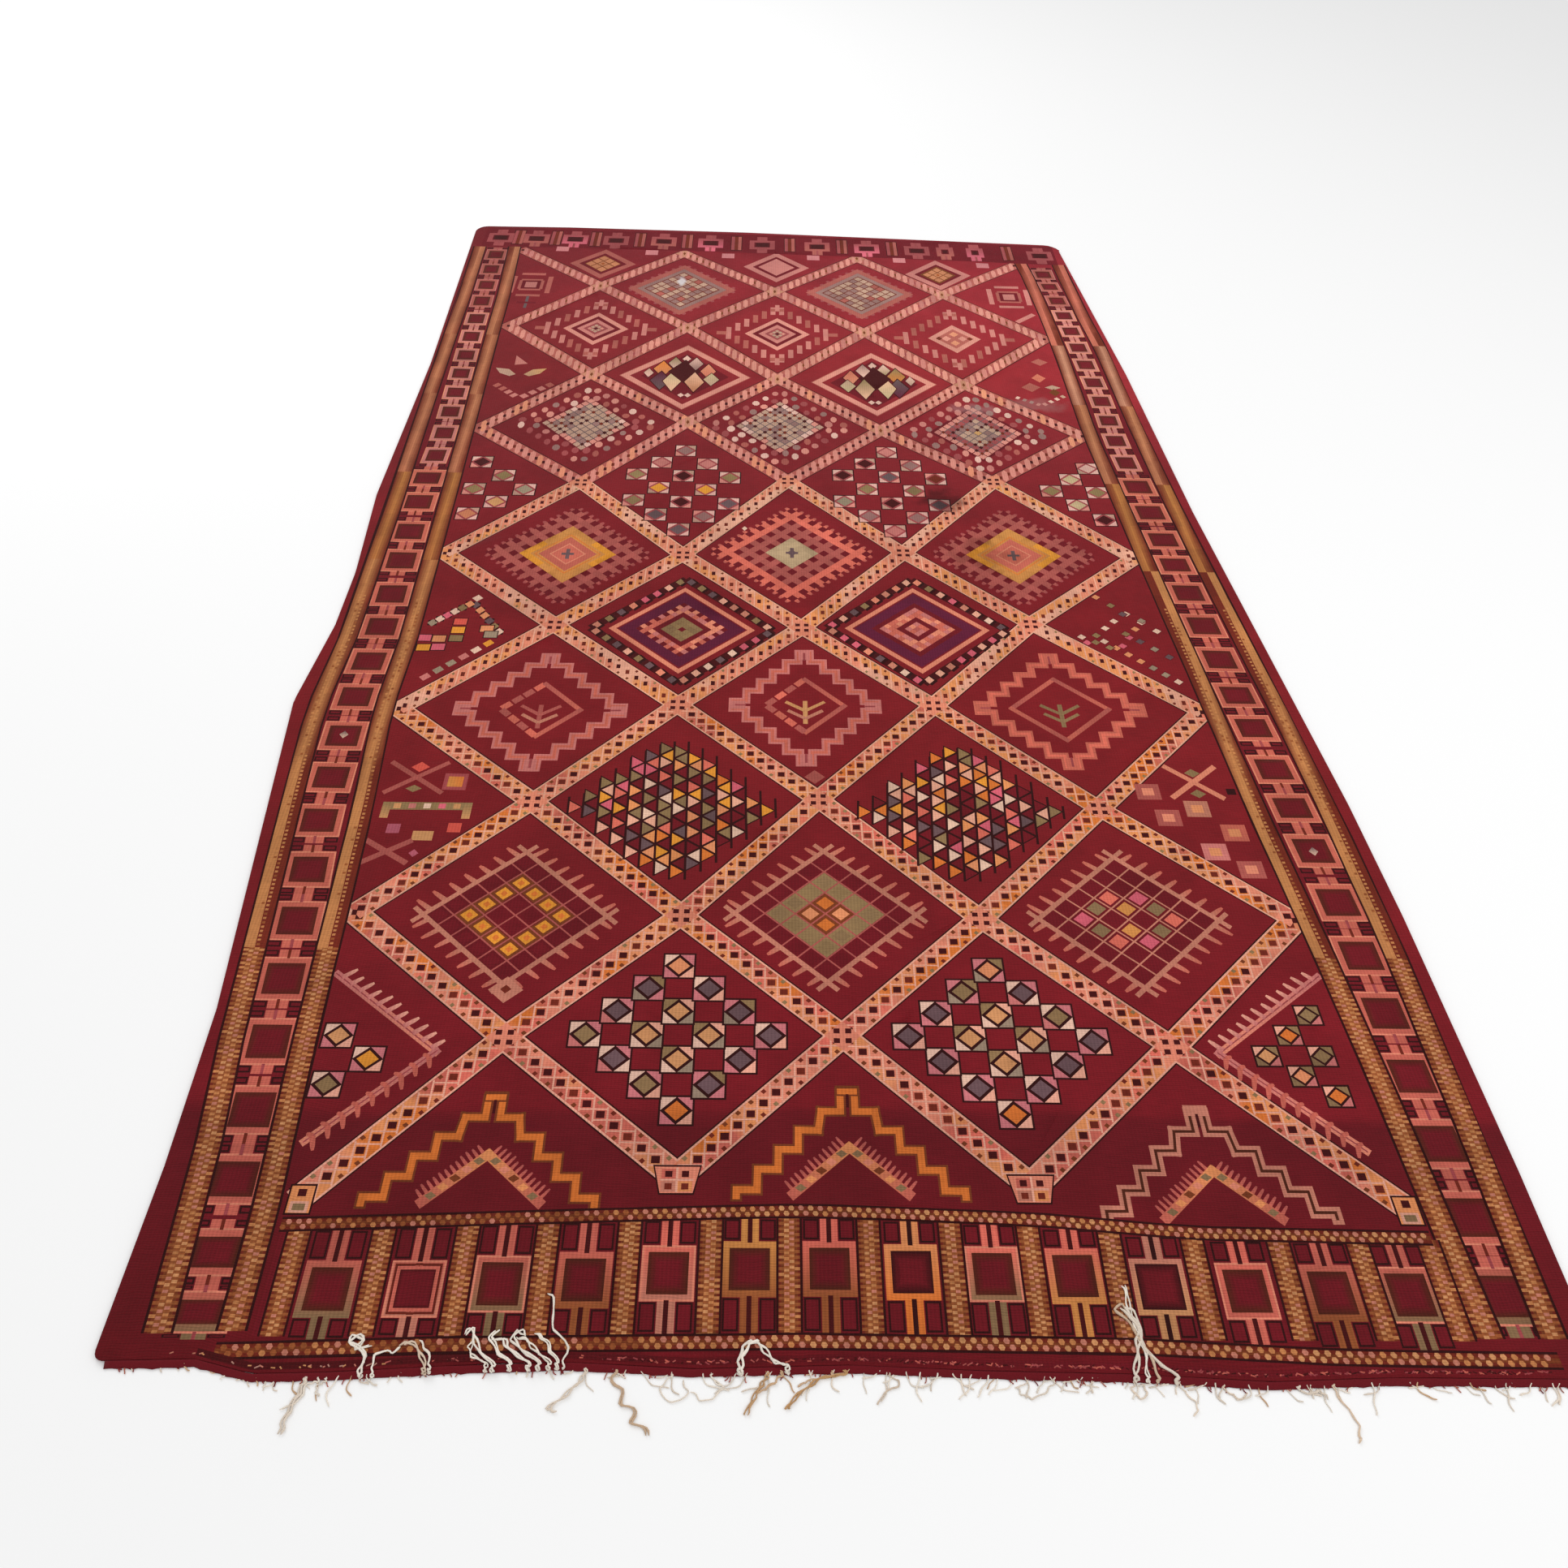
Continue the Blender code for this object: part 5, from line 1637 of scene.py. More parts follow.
    def close_rim(self, form: bmesh.types.BMesh, inner: Corners, ways: Corners) -> None:
        """Rolls the top's edge outward and down to the underside.

        Args:
            form: The two open sheets.
            inner: The outline that both share.
            ways: The outward direction at each of its points.
        """
        edges = [e for e in form.edges if e.is_boundary and all(v.co.z > 0.002 for v in e.verts)]
        finder = {(round(p.x, 5), round(p.y, 5)): w for p, w in zip(inner, ways)}
        bulge = ((0.35, -0.0001), (0.72, -0.0006), (0.96, -0.0017), (1.00, -0.0030), (0.72, None), (0.0, None))
        ring = {v: (v.co.copy(), finder[min(finder, key=lambda k: (k[0] - v.co.x) ** 2 + (k[1] - v.co.y) ** 2)])
                for v in {v for e in edges for v in e.verts}}
        for out, drop in bulge:
            grown = bmesh.ops.extrude_edge_only(form, edges=edges)["geom"]
            edges = [g for g in grown if isinstance(g, bmesh.types.BMEdge)]
            fresh = {}
            for vert in (g for g in grown if isinstance(g, bmesh.types.BMVert)):
                parent = next(e.other_vert(vert) for e in vert.link_edges if e.other_vert(vert) in ring)
                start, way = ring[parent]
                fresh[vert] = (start, way)
                height = start.z + drop if drop is not None else (0.0009 if out else 0.0)
                vert.co = (start.x + way.x * out * self.inset, start.y + way.y * out * self.inset, height)
            ring = fresh
        low = [v for v in form.verts if v.co.z < 0.0001 and v.is_boundary]
        bmesh.ops.remove_doubles(form, verts=low, dist=0.0002)
        bmesh.ops.holes_fill(form, edges=[e for e in form.edges if e.is_boundary], sides=0)
        bmesh.ops.triangulate(form, faces=[f for f in form.faces if len(f.verts) > 4])
        bmesh.ops.recalc_face_normals(form, faces=form.faces)

    def dye(self, mesh: bpy.types.Mesh) -> None:
        """Gives each corner the colour and the float share of the patch that shows there."""
        patches = self.draft.patches
        count = len(mesh.loops)
        spots = np.empty(len(mesh.vertices) * 3)
        mesh.vertices.foreach_get("co", spots)
        which = np.empty(count, dtype=np.int32)
        mesh.loops.foreach_get("vertex_index", which)
        spots = spots.reshape(-1, 3)[which, :2]
        lots = np.empty(len(mesh.polygons), dtype=np.int32)
        mesh.attributes["lot"].data.foreach_get("value", lots)
        sizes = np.empty(len(mesh.polygons), dtype=np.int32)
        mesh.polygons.foreach_get("loop_total", sizes)
        lots = np.repeat(lots, sizes)
        first = np.array([(*Dye.GROUND.linear, 0.0)] + [(*(Vector(p.dye.linear) * p.lift),
                                                         p.float_share) for p in patches])
        last = np.array([(*Dye.GROUND.linear, 0.0)]
                        + [(*(Vector((p.onto or p.dye).linear) * p.lift), p.float_share) for p in patches])
        start = np.array([(0.0, 0.0)] + [tuple(p.run[0])[:2] if p.run else (0.0, 0.0) for p in patches])
        way = np.array([(0.0, 0.0)] + [tuple((p.run[1] - p.run[0]) / (p.run[1] - p.run[0]).length_squared)[:2]
                                       if p.run else (0.0, 0.0) for p in patches])
        share = np.clip(((spots - start[lots]) * way[lots]).sum(axis=1), 0.0, 1.0)[:, None]
        tones = first[lots] * (1 - share) + last[lots] * share
        tones[:, :3] *= np.where(tones[:, 3:] > 0.3, self.brocade_fade, self.ground_fade)
        layer = mesh.attributes.new("Dye", "FLOAT_COLOR", "CORNER")
        layer.data.foreach_set("color", tones.astype(np.float32).ravel())
        mesh.attributes.remove(mesh.attributes["lot"])

    def chart(self, mesh: bpy.types.Mesh) -> None:
        """Adds the map of the loom, in metres with its rows level with both ends, and the map of both faces."""
        count = len(mesh.loops)
        spots = np.empty(len(mesh.vertices) * 3)
        mesh.vertices.foreach_get("co", spots)
        which = np.empty(count, dtype=np.int32)
        mesh.loops.foreach_get("vertex_index", which)
        spots = spots.reshape(-1, 3)[which]
        near, far = np.array(Outline.near), np.array(Outline.far)
        low = np.interp(spots[:, 0], near[:, 0], near[:, 1])
        high = np.interp(spots[:, 0], far[:, 0], far[:, 1])
        rows = (spots[:, 1] - low) / (high - low)
        loom = np.stack([spots[:, 0], rows * self.woven], axis=1)
        sizes = np.empty(len(mesh.polygons), dtype=np.int32)
        mesh.polygons.foreach_get("loop_total", sizes)
        normals = np.empty(len(mesh.polygons) * 3)
        mesh.polygons.foreach_get("normal", normals)
        above = np.repeat(normals.reshape(-1, 3)[:, 2] > 0.0, sizes)
        lo, hi = spots.min(axis=0), spots.max(axis=0)
        flat = (spots[:, :2] - lo[:2]) / (hi[:2] - lo[:2])
        flat[:, 0] = np.where(above, 0.003 + flat[:, 0] * 0.740, 0.998 - flat[:, 0] * 0.250)
        flat[:, 1] = 0.002 + flat[:, 1] * 0.996
        for name, values in (("Loom", loom), ("OFBake", flat)):
            layer = mesh.uv_layers.new(name=name)
            layer.data.foreach_set("uv", values.astype(np.float32).ravel())


class Group:
    """A shader node group with named inputs and outputs, and short ways to fill it.

    Attributes:
        tree: The group's node tree.
        source: Its input node.
        sink: Its output node.
    """

    def __init__(self, name: str, takes: Sequence[tuple[str, str, object]], gives: Sequence[tuple[str, str]]) -> None:
        """Makes the group.

        Args:
            name: Its name.
            takes: Its inputs, each a name, a kind and a default.
            gives: Its outputs, each a name and a kind.
        """
        self.tree = bpy.data.node_groups.new(name, "ShaderNodeTree")
        kinds = {"value": "NodeSocketFloat", "colour": "NodeSocketColor", "vector": "NodeSocketVector"}
        for title, kind, default in takes:
            socket = self.tree.interface.new_socket(title, in_out="INPUT", socket_type=kinds[kind])
            if default is not None:
                socket.default_value = default
        for title, kind in gives:
            self.tree.interface.new_socket(title, in_out="OUTPUT", socket_type=kinds[kind])
        self.source = self.tree.nodes.new("NodeGroupInput")
        self.sink = self.tree.nodes.new("NodeGroupOutput")

    def node(self, kind: str, links: dict[str | int, object], **settings: object) -> bpy.types.Node:
        """Adds a node.

        Args:
            kind: Its Blender type.
            links: What feeds each input: a socket, or a plain value.
            settings: Its own settings.

        Returns:
            The node.
        """
        return add_node(self.tree, kind, links, **settings)

    def maths(self, operation: str, *values: object) -> bpy.types.NodeSocket:
        """Adds a Math node and returns its value."""
        return self.node("ShaderNodeMath", dict(enumerate(values)), operation=operation).outputs[0]

    def give(self, name: str, socket: bpy.types.NodeSocket) -> None:
        """Links a socket to one of the group's outputs."""
        self.tree.links.new(socket, self.sink.inputs[name])


def add_node(tree: bpy.types.NodeTree, kind: str, links: dict[str | int, object], **settings: object) -> bpy.types.Node:
    """Adds a node to a tree, sets it and links it.

    Args:
        tree: The node tree.
        kind: The node's Blender type.
        links: What feeds each input: a socket, or a plain value.
        settings: Its own settings.

    Returns:
        The node.
    """
    node = tree.nodes.new(kind)
    for name, value in settings.items():
        setattr(node, name, value)
    for key, value in links.items():
        if isinstance(value, bpy.types.NodeSocket):
            tree.links.new(value, node.inputs[key])
        else:
            node.inputs[key].default_value = value
    return node


def ramp(tree: bpy.types.NodeTree, fac: bpy.types.NodeSocket, stops: Sequence[tuple[float, tuple[float, float, float]]],
         mode: str = "LINEAR") -> bpy.types.NodeSocket:
    """Adds a colour ramp and returns its colour.

    Args:
        tree: The node tree.
        fac: What it reads.
        stops: Rows of (place, colour).
        mode: How it runs between stops.

    Returns:
        The ramp's colour.
    """
    node = add_node(tree, "ShaderNodeValToRGB", {0: fac})
    node.color_ramp.interpolation = mode
    elements = node.color_ramp.elements
    while len(elements) < len(stops):
        elements.new(0.5)
    for element, (place, colour) in zip(elements, stops):
        element.position = place
        element.color = (*colour, 1.0)
    return node.outputs[0]


def weave_group() -> bpy.types.NodeTree:
    """The weave: fine weft ribs on the ground, plumper floats on the brocade, as a height for the bump and as painted
    shading that darkens the hollows between them.

    Returns:
        The group, from a loom place and a float share to "Height" and "Shade".
    """
    group = Group("weave", (("Loom", "vector", None), ("Float", "value", 0.0), ("Pitch", "value", 0.0031)),
                  (("Height", "value"), ("PaintedShade", "value")))
    loom, share, pitch = (group.source.outputs[n] for n in ("Loom", "Float", "Pitch"))
    split = group.node("ShaderNodeSeparateXYZ", {0: loom})
    drift = group.node("ShaderNodeTexNoise", {"Vector": loom, "Scale": 34.0, "Detail": 2.0}, noise_dimensions="2D")
    bent = group.maths("MULTIPLY_ADD", group.maths("SUBTRACT", drift.outputs[0], 0.5), 0.0045, split.outputs["Y"])
    turn = group.maths("MULTIPLY", group.maths("DIVIDE", bent, pitch), 2 * math.pi)
    rib = group.maths("MULTIPLY_ADD", group.maths("SINE", turn), 0.5, 0.5)
    stretched = group.node("ShaderNodeVectorMath", {0: loom, 1: (42.0, 420.0, 1.0)}, operation="MULTIPLY")
    yarn = group.node("ShaderNodeTexNoise", {"Vector": stretched.outputs[0], "Scale": 1.0, "Detail": 3.0,
                                             "Roughness": 0.62}, noise_dimensions="2D")
    column = group.maths("SINE", group.maths("MULTIPLY", split.outputs["X"], 2 * math.pi / 0.0052))
    body = group.maths("MULTIPLY_ADD", group.maths("MULTIPLY", rib, 0.45), 1.0, yarn.outputs[0])
    height = group.maths("MULTIPLY_ADD", column, group.maths("MULTIPLY_ADD", share, 0.08, 0.10), body)
    group.give("Height", height)
    # Painted shading: the colour is darkened where the weave's height is low, in the hollows between ribs and floats,
    # and lightened on their crests.
    painted_shade_and_tone = group.maths("MULTIPLY_ADD", group.maths("SUBTRACT", height, 0.72), 0.42, 1.0)
    group.give("PaintedShade", painted_shade_and_tone)
    return group.tree


def abrash_and_painted_light_group() -> bpy.types.NodeTree:
    """Bands of lighter and darker red along the cloth, with fine streaks: the ground wool's dye lots over the near
    half, then painted sheen that turns the far rows paler, greener and bluer.

    Returns:
        The group, from a loom place to a "Tint" that multiplies the ground.
    """
    group = Group("abrash_and_painted_light", (("Loom", "vector", None),), (("Tint", "colour"),))
    loom = group.source.outputs["Loom"]
    split = group.node("ShaderNodeSeparateXYZ", {0: loom})
    stretched = group.node("ShaderNodeVectorMath", {0: loom, 1: (1.1, 15.0, 1.0)}, operation="MULTIPLY")
    sway = group.node("ShaderNodeTexNoise", {"Vector": stretched.outputs[0], "Scale": 1.0, "Detail": 1.0},
                      noise_dimensions="2D")
    along = group.maths("MULTIPLY_ADD", group.maths("SUBTRACT", sway.outputs[0], 0.5), 0.05, split.outputs["Y"])
    place = group.maths("DIVIDE", along, 3.2)
    # Up to 0.46 the bands are the ground wool's dye lots; from 0.54 on they are painted sheen, paler and with more
    # green and blue.
    bands = ((0.0, (0.72, 0.60, 0.72)), (0.100, (0.66, 0.62, 0.80)), (0.106, (0.96, 0.85, 1.02)),
             (0.150, (1.02, 0.90, 1.05)),
             (0.24, (0.98, 1.02, 1.0)), (0.31, (1.08, 1.08, 1.0)), (0.42, (1.12, 1.10, 1.05)),
             (0.46, (1.04, 1.05, 1.02)),
             (0.54, (1.14, 1.30, 1.25)), (0.65, (1.18, 1.85, 1.60)), (0.74, (1.56, 2.35, 1.90)),
             (0.84, (1.62, 2.45, 2.15)),
             (0.93, (1.42, 2.15, 2.0)), (1.0, (1.20, 1.8, 1.8)))
    tint = ramp(group.tree, place, bands)
    # Painted light: the right side is brightened and the left darkened, slightly all along and more from 1.75 m to 2.3
    # m along the loom.
    beyond = group.node("ShaderNodeMapRange", {0: split.outputs["Y"], 1: 1.75, 2: 2.30, 3: 0.08, 4: 0.40})
    aside = group.maths("MULTIPLY_ADD", split.outputs["X"], beyond.outputs[0], 1.0)
    lots_with_painted_light = group.node("ShaderNodeVectorMath", {0: tint, "Scale": aside}, operation="SCALE").outputs[0]
    group.give("Tint", lots_with_painted_light)
    return group.tree


def stain_group() -> bpy.types.NodeTree:
    """A soft, ragged patch round a place, as a mask.

    Returns:
        The group, from a loom place, a middle and a size to a "Mask".
    """
    group = Group("stain", (("Loom", "vector", None), ("Middle", "vector", None), ("Size", "vector", (0.1, 0.1, 1.0)),
                            ("Strength", "value", 1.0)), (("Mask", "value"),))
    loom, middle, size, strength = (group.source.outputs[n] for n in ("Loom", "Middle", "Size", "Strength"))
    away = group.node("ShaderNodeVectorMath", {0: loom, 1: middle}, operation="SUBTRACT")
    scaled = group.node("ShaderNodeVectorMath", {0: away.outputs[0], 1: size}, operation="DIVIDE")
    far = group.node("ShaderNodeVectorMath", {0: scaled.outputs[0]}, operation="LENGTH").outputs["Value"]
    ragged = group.node("ShaderNodeTexNoise", {"Vector": loom, "Scale": 22.0, "Detail": 4.0}, noise_dimensions="2D")
    edge = group.maths("MULTIPLY_ADD", group.maths("SUBTRACT", ragged.outputs[0], 0.5), 1.6, far)
    mask = group.node("ShaderNodeMapRange", {0: edge, 1: 0.35, 2: 1.05, 3: 1.0, 4: 0.0},
                      interpolation_type="SMOOTHSTEP")
    group.give("Mask", group.maths("MULTIPLY", mask.outputs[0], strength))
    return group.tree


@dataclass(frozen=True)
class Stain:
    """One soft patch over the cloth's colour: a stain, a worn patch or a plain darker or paler area.

    Attributes:
        across: Its middle across the plan.
        along: Its middle along the plan.
        width: Half its width.
        height: Half its height.
        colour: What it multiplies, or for a worn patch replaces, the wool with.
        strength: How strong it is.
        worn: Whether it lays its own colour over the wool.
    """

    across: float
    along: float
    width: float
    height: float
    colour: tuple[float, float, float]
    strength: float = 1.0
    worn: bool = False


STAINS = (
    Stain(0.335, 1.372, 0.060, 0.050, (0.34, 0.30, 0.32), 0.85),
    Stain(0.400, 1.180, 0.075, 0.080, (0.62, 0.60, 0.55), 0.80),
    Stain(0.450, 1.770, 0.070, 0.030, (0.42, 0.26, 0.25), 0.35, True),
    Stain(0.600, 1.800, 0.080, 0.040, (0.34, 0.22, 0.20), 0.30, True),
    # A small whitish patch laid over the middle of the left check diamond.
    Stain(-0.306, 2.395, 0.012, 0.036, (0.66, 0.60, 0.60), 0.9, True),
    # A broad, faint darkening across the left half of the cloth, round 1 m along the plan.
    Stain(-0.450, 1.000, 0.500, 0.110, (0.86, 0.84, 0.86), 0.5),
)


@dataclass(frozen=True)
class WoollenWeave:
    """The cloth's finish: dyed wool read from the corners, the weave with its painted shading, the lots of red with
    painted sheen and side light on the far rows, the stains and the wear.

    Attributes:
        roughness: How dull the wool is.
        sheen: How much its fuzz catches grazing light.
        relief: Strength of the weave's relief.
    """

    roughness: float = 0.93
    sheen: float = 0.015
    relief: float = 0.55

    def make(self, low_corner: float) -> bpy.types.Material:
        """Makes the material.

        Args:
            low_corner: Height of the plan's near end on the loom's map.

        Returns:
            The material.
        """
        material = bpy.data.materials.new("woven_wool")
        material.use_nodes = True
        tree = material.node_tree
        tree.nodes.clear()
        loom = add_node(tree, "ShaderNodeUVMap", {}, uv_map="Loom").outputs[0]
        dye = add_node(tree, "ShaderNodeAttribute", {}, attribute_name="Dye", attribute_type="GEOMETRY")
        weave = add_node(tree, "ShaderNodeGroup", {}, node_tree=weave_group())
        tree.links.new(loom, weave.inputs["Loom"])
        tree.links.new(dye.outputs["Alpha"], weave.inputs["Float"])
        # The ground's dye lots, with painted sheen on the far rows and painted light brightening their right side.
        lots = add_node(tree, "ShaderNodeGroup", {}, node_tree=abrash_and_painted_light_group())
        tree.links.new(loom, lots.inputs["Loom"])
        plain = add_node(tree, "ShaderNodeMath", {0: dye.outputs["Alpha"], 1: -0.72, 2: 1.0}, operation="MULTIPLY_ADD")
        colour = self.mix(tree, "MULTIPLY", plain.outputs[0], dye.outputs["Color"], lots.outputs["Tint"])
        hue = add_node(tree, "ShaderNodeTexNoise", {"Vector": loom, "Scale": 9.0, "Detail": 5.0, "Roughness": 0.6},
                       noise_dimensions="2D")
        patchy = add_node(tree, "ShaderNodeMapRange", {0: hue.outputs[0], 1: 0.3, 2: 0.7, 3: 0.88, 4: 1.12})
        # Painted shading of the weave's hollows and crests, times a patchy random tone, multiplies the colour.
        painted_shade_and_tone = add_node(tree, "ShaderNodeMath", {0: weave.outputs["PaintedShade"], 1: patchy.outputs[0]},
                         operation="MULTIPLY")
        grey = add_node(tree, "ShaderNodeCombineColor", {0: painted_shade_and_tone.outputs[0], 1: painted_shade_and_tone.outputs[0], 2: painted_shade_and_tone.outputs[0]})
        colour = self.mix(tree, "MULTIPLY", 1.0, colour, grey.outputs[0])
        shape = stain_group()
        for stain in STAINS:
            patch = add_node(tree, "ShaderNodeGroup", {}, node_tree=shape)
            tree.links.new(loom, patch.inputs["Loom"])
            patch.inputs["Middle"].default_value = (stain.across, stain.along - low_corner, 0.0)
            patch.inputs["Size"].default_value = (stain.width, stain.height, 1.0)
            patch.inputs["Strength"].default_value = stain.strength
            colour = self.mix(tree, "MIX" if stain.worn else "MULTIPLY", patch.outputs["Mask"], colour,
                              (*stain.colour, 1.0))
        fuzz = add_node(tree, "ShaderNodeTexNoise", {"Vector": loom, "Scale": 900.0, "Detail": 2.0},
                        noise_dimensions="2D")
        speck = add_node(tree, "ShaderNodeMapRange", {0: fuzz.outputs[0], 1: 0.35, 2: 0.75, 3: 0.0, 4: 0.022})
        colour = self.mix(tree, "MIX", speck.outputs[0], colour, (0.60, 0.30, 0.20, 1.0))
        bump = add_node(tree, "ShaderNodeBump", {"Strength": self.relief, "Distance": 0.0010,
                                                 "Height": weave.outputs["Height"]})
        shader = add_node(tree, "ShaderNodeBsdfPrincipled", {
            "Base Color": colour, "Roughness": self.roughness, "Sheen Weight": self.sheen, "Sheen Roughness": 0.5,
            "Specular IOR Level": 0.12, "Normal": bump.outputs[0]})
        out = add_node(tree, "ShaderNodeOutputMaterial", {})
        tree.links.new(shader.outputs[0], out.inputs[0])
        return material

    @staticmethod
    def mix(tree: bpy.types.NodeTree, mode: str, fac: object, first: object, second: object) -> bpy.types.NodeSocket:
        """Blends two colours and returns the blend."""
        node = add_node(tree, "ShaderNodeMix", {0: fac, 6: first, 7: second}, data_type="RGBA", blend_type=mode)
        return node.outputs[2]


@dataclass(frozen=True)
class LooseYarn:
    """The finish of the fringe: undyed and faintly stained warp yarn, each yarn of its own tone.

    Attributes:
        roughness: How dull it is.
        sheen: How much its fuzz catches grazing light.
    """

    roughness: float = 0.9
    sheen: float = 0.05

    def make(self) -> bpy.types.Material:
        """Makes the material."""
        material = bpy.data.materials.new("warp_yarn")
        material.use_nodes = True
        tree = material.node_tree
        tree.nodes.clear()
        dye = add_node(tree, "ShaderNodeAttribute", {}, attribute_name="Dye", attribute_type="GEOMETRY")
        place = add_node(tree, "ShaderNodeTexCoord", {}).outputs["Object"]
        fuzz = add_node(tree, "ShaderNodeTexNoise", {"Vector": place, "Scale": 900.0, "Detail": 3.0})
        tone = add_node(tree, "ShaderNodeMapRange", {0: fuzz.outputs[0], 1: 0.3, 2: 0.7, 3: 0.80, 4: 1.12})
        grey = add_node(tree, "ShaderNodeCombineColor", {0: tone.outputs[0], 1: tone.outputs[0], 2: tone.outputs[0]})
        colour = WoollenWeave.mix(tree, "MULTIPLY", 1.0, dye.outputs["Color"], grey.outputs[0])
        bump = add_node(tree, "ShaderNodeBump", {"Strength": 0.5, "Distance": 0.0005, "Height": fuzz.outputs[0]})
        shader = add_node(tree, "ShaderNodeBsdfPrincipled", {
            "Base Color": colour, "Roughness": self.roughness, "Sheen Weight": self.sheen, "Sheen Roughness": 0.5,
            "Specular IOR Level": 0.15, "Normal": bump.outputs[0]})
        out = add_node(tree, "ShaderNodeOutputMaterial", {})
        tree.links.new(shader.outputs[0], out.inputs[0])
        return material


@dataclass
class Yarn:
    """One loose yarn of the fringe.

    Attributes:
        points: Its middle line, in the row frame.
        width: Its width.
        dye: Its colour, in light shares.
        twist: Turns for each metre.
    """

    points: list[Vector]
    width: float
    dye: tuple[float, float, float]
    twist: float = 160.0


FLOOR_REACH = ((-0.86, 0.010), (-0.66, 0.012), (-0.63, 0.030), (-0.56, 0.034), (-0.50, 0.016), (-0.48, 0.004),
               (-0.36, 0.004),
               (-0.34, 0.024), (-0.26, 0.034), (-0.24, 0.016), (-0.22, 0.040), (-0.10, 0.044), (0.02, 0.030),
               (0.12, 0.036),
               (0.30, 0.034), (0.34, 0.020), (0.36, 0.006), (0.37, 0.026), (0.41, 0.024), (0.44, 0.030), (0.50, 0.034),
               (0.56, 0.024), (0.62, 0.032), (0.66, 0.034), (0.94, 0.026))


@dataclass(frozen=True)
class Lock:
    """A lock of yarn whose way is known: over the floor, or turned up over the edge and back over the cloth.

    Attributes:
        way: Points of its middle line, on the plan, from the edge outwards.
        width: Its width.
        pale: How pale it is, from 0 for ochre to 1 for white.
        back: Whether it lies back over the cloth.
        plies: How many yarns make it up.
    """

    way: tuple[tuple[float, float], ...]
    width: float = 0.0026
    pale: float = 1.0
    back: bool = False
    plies: int = 1


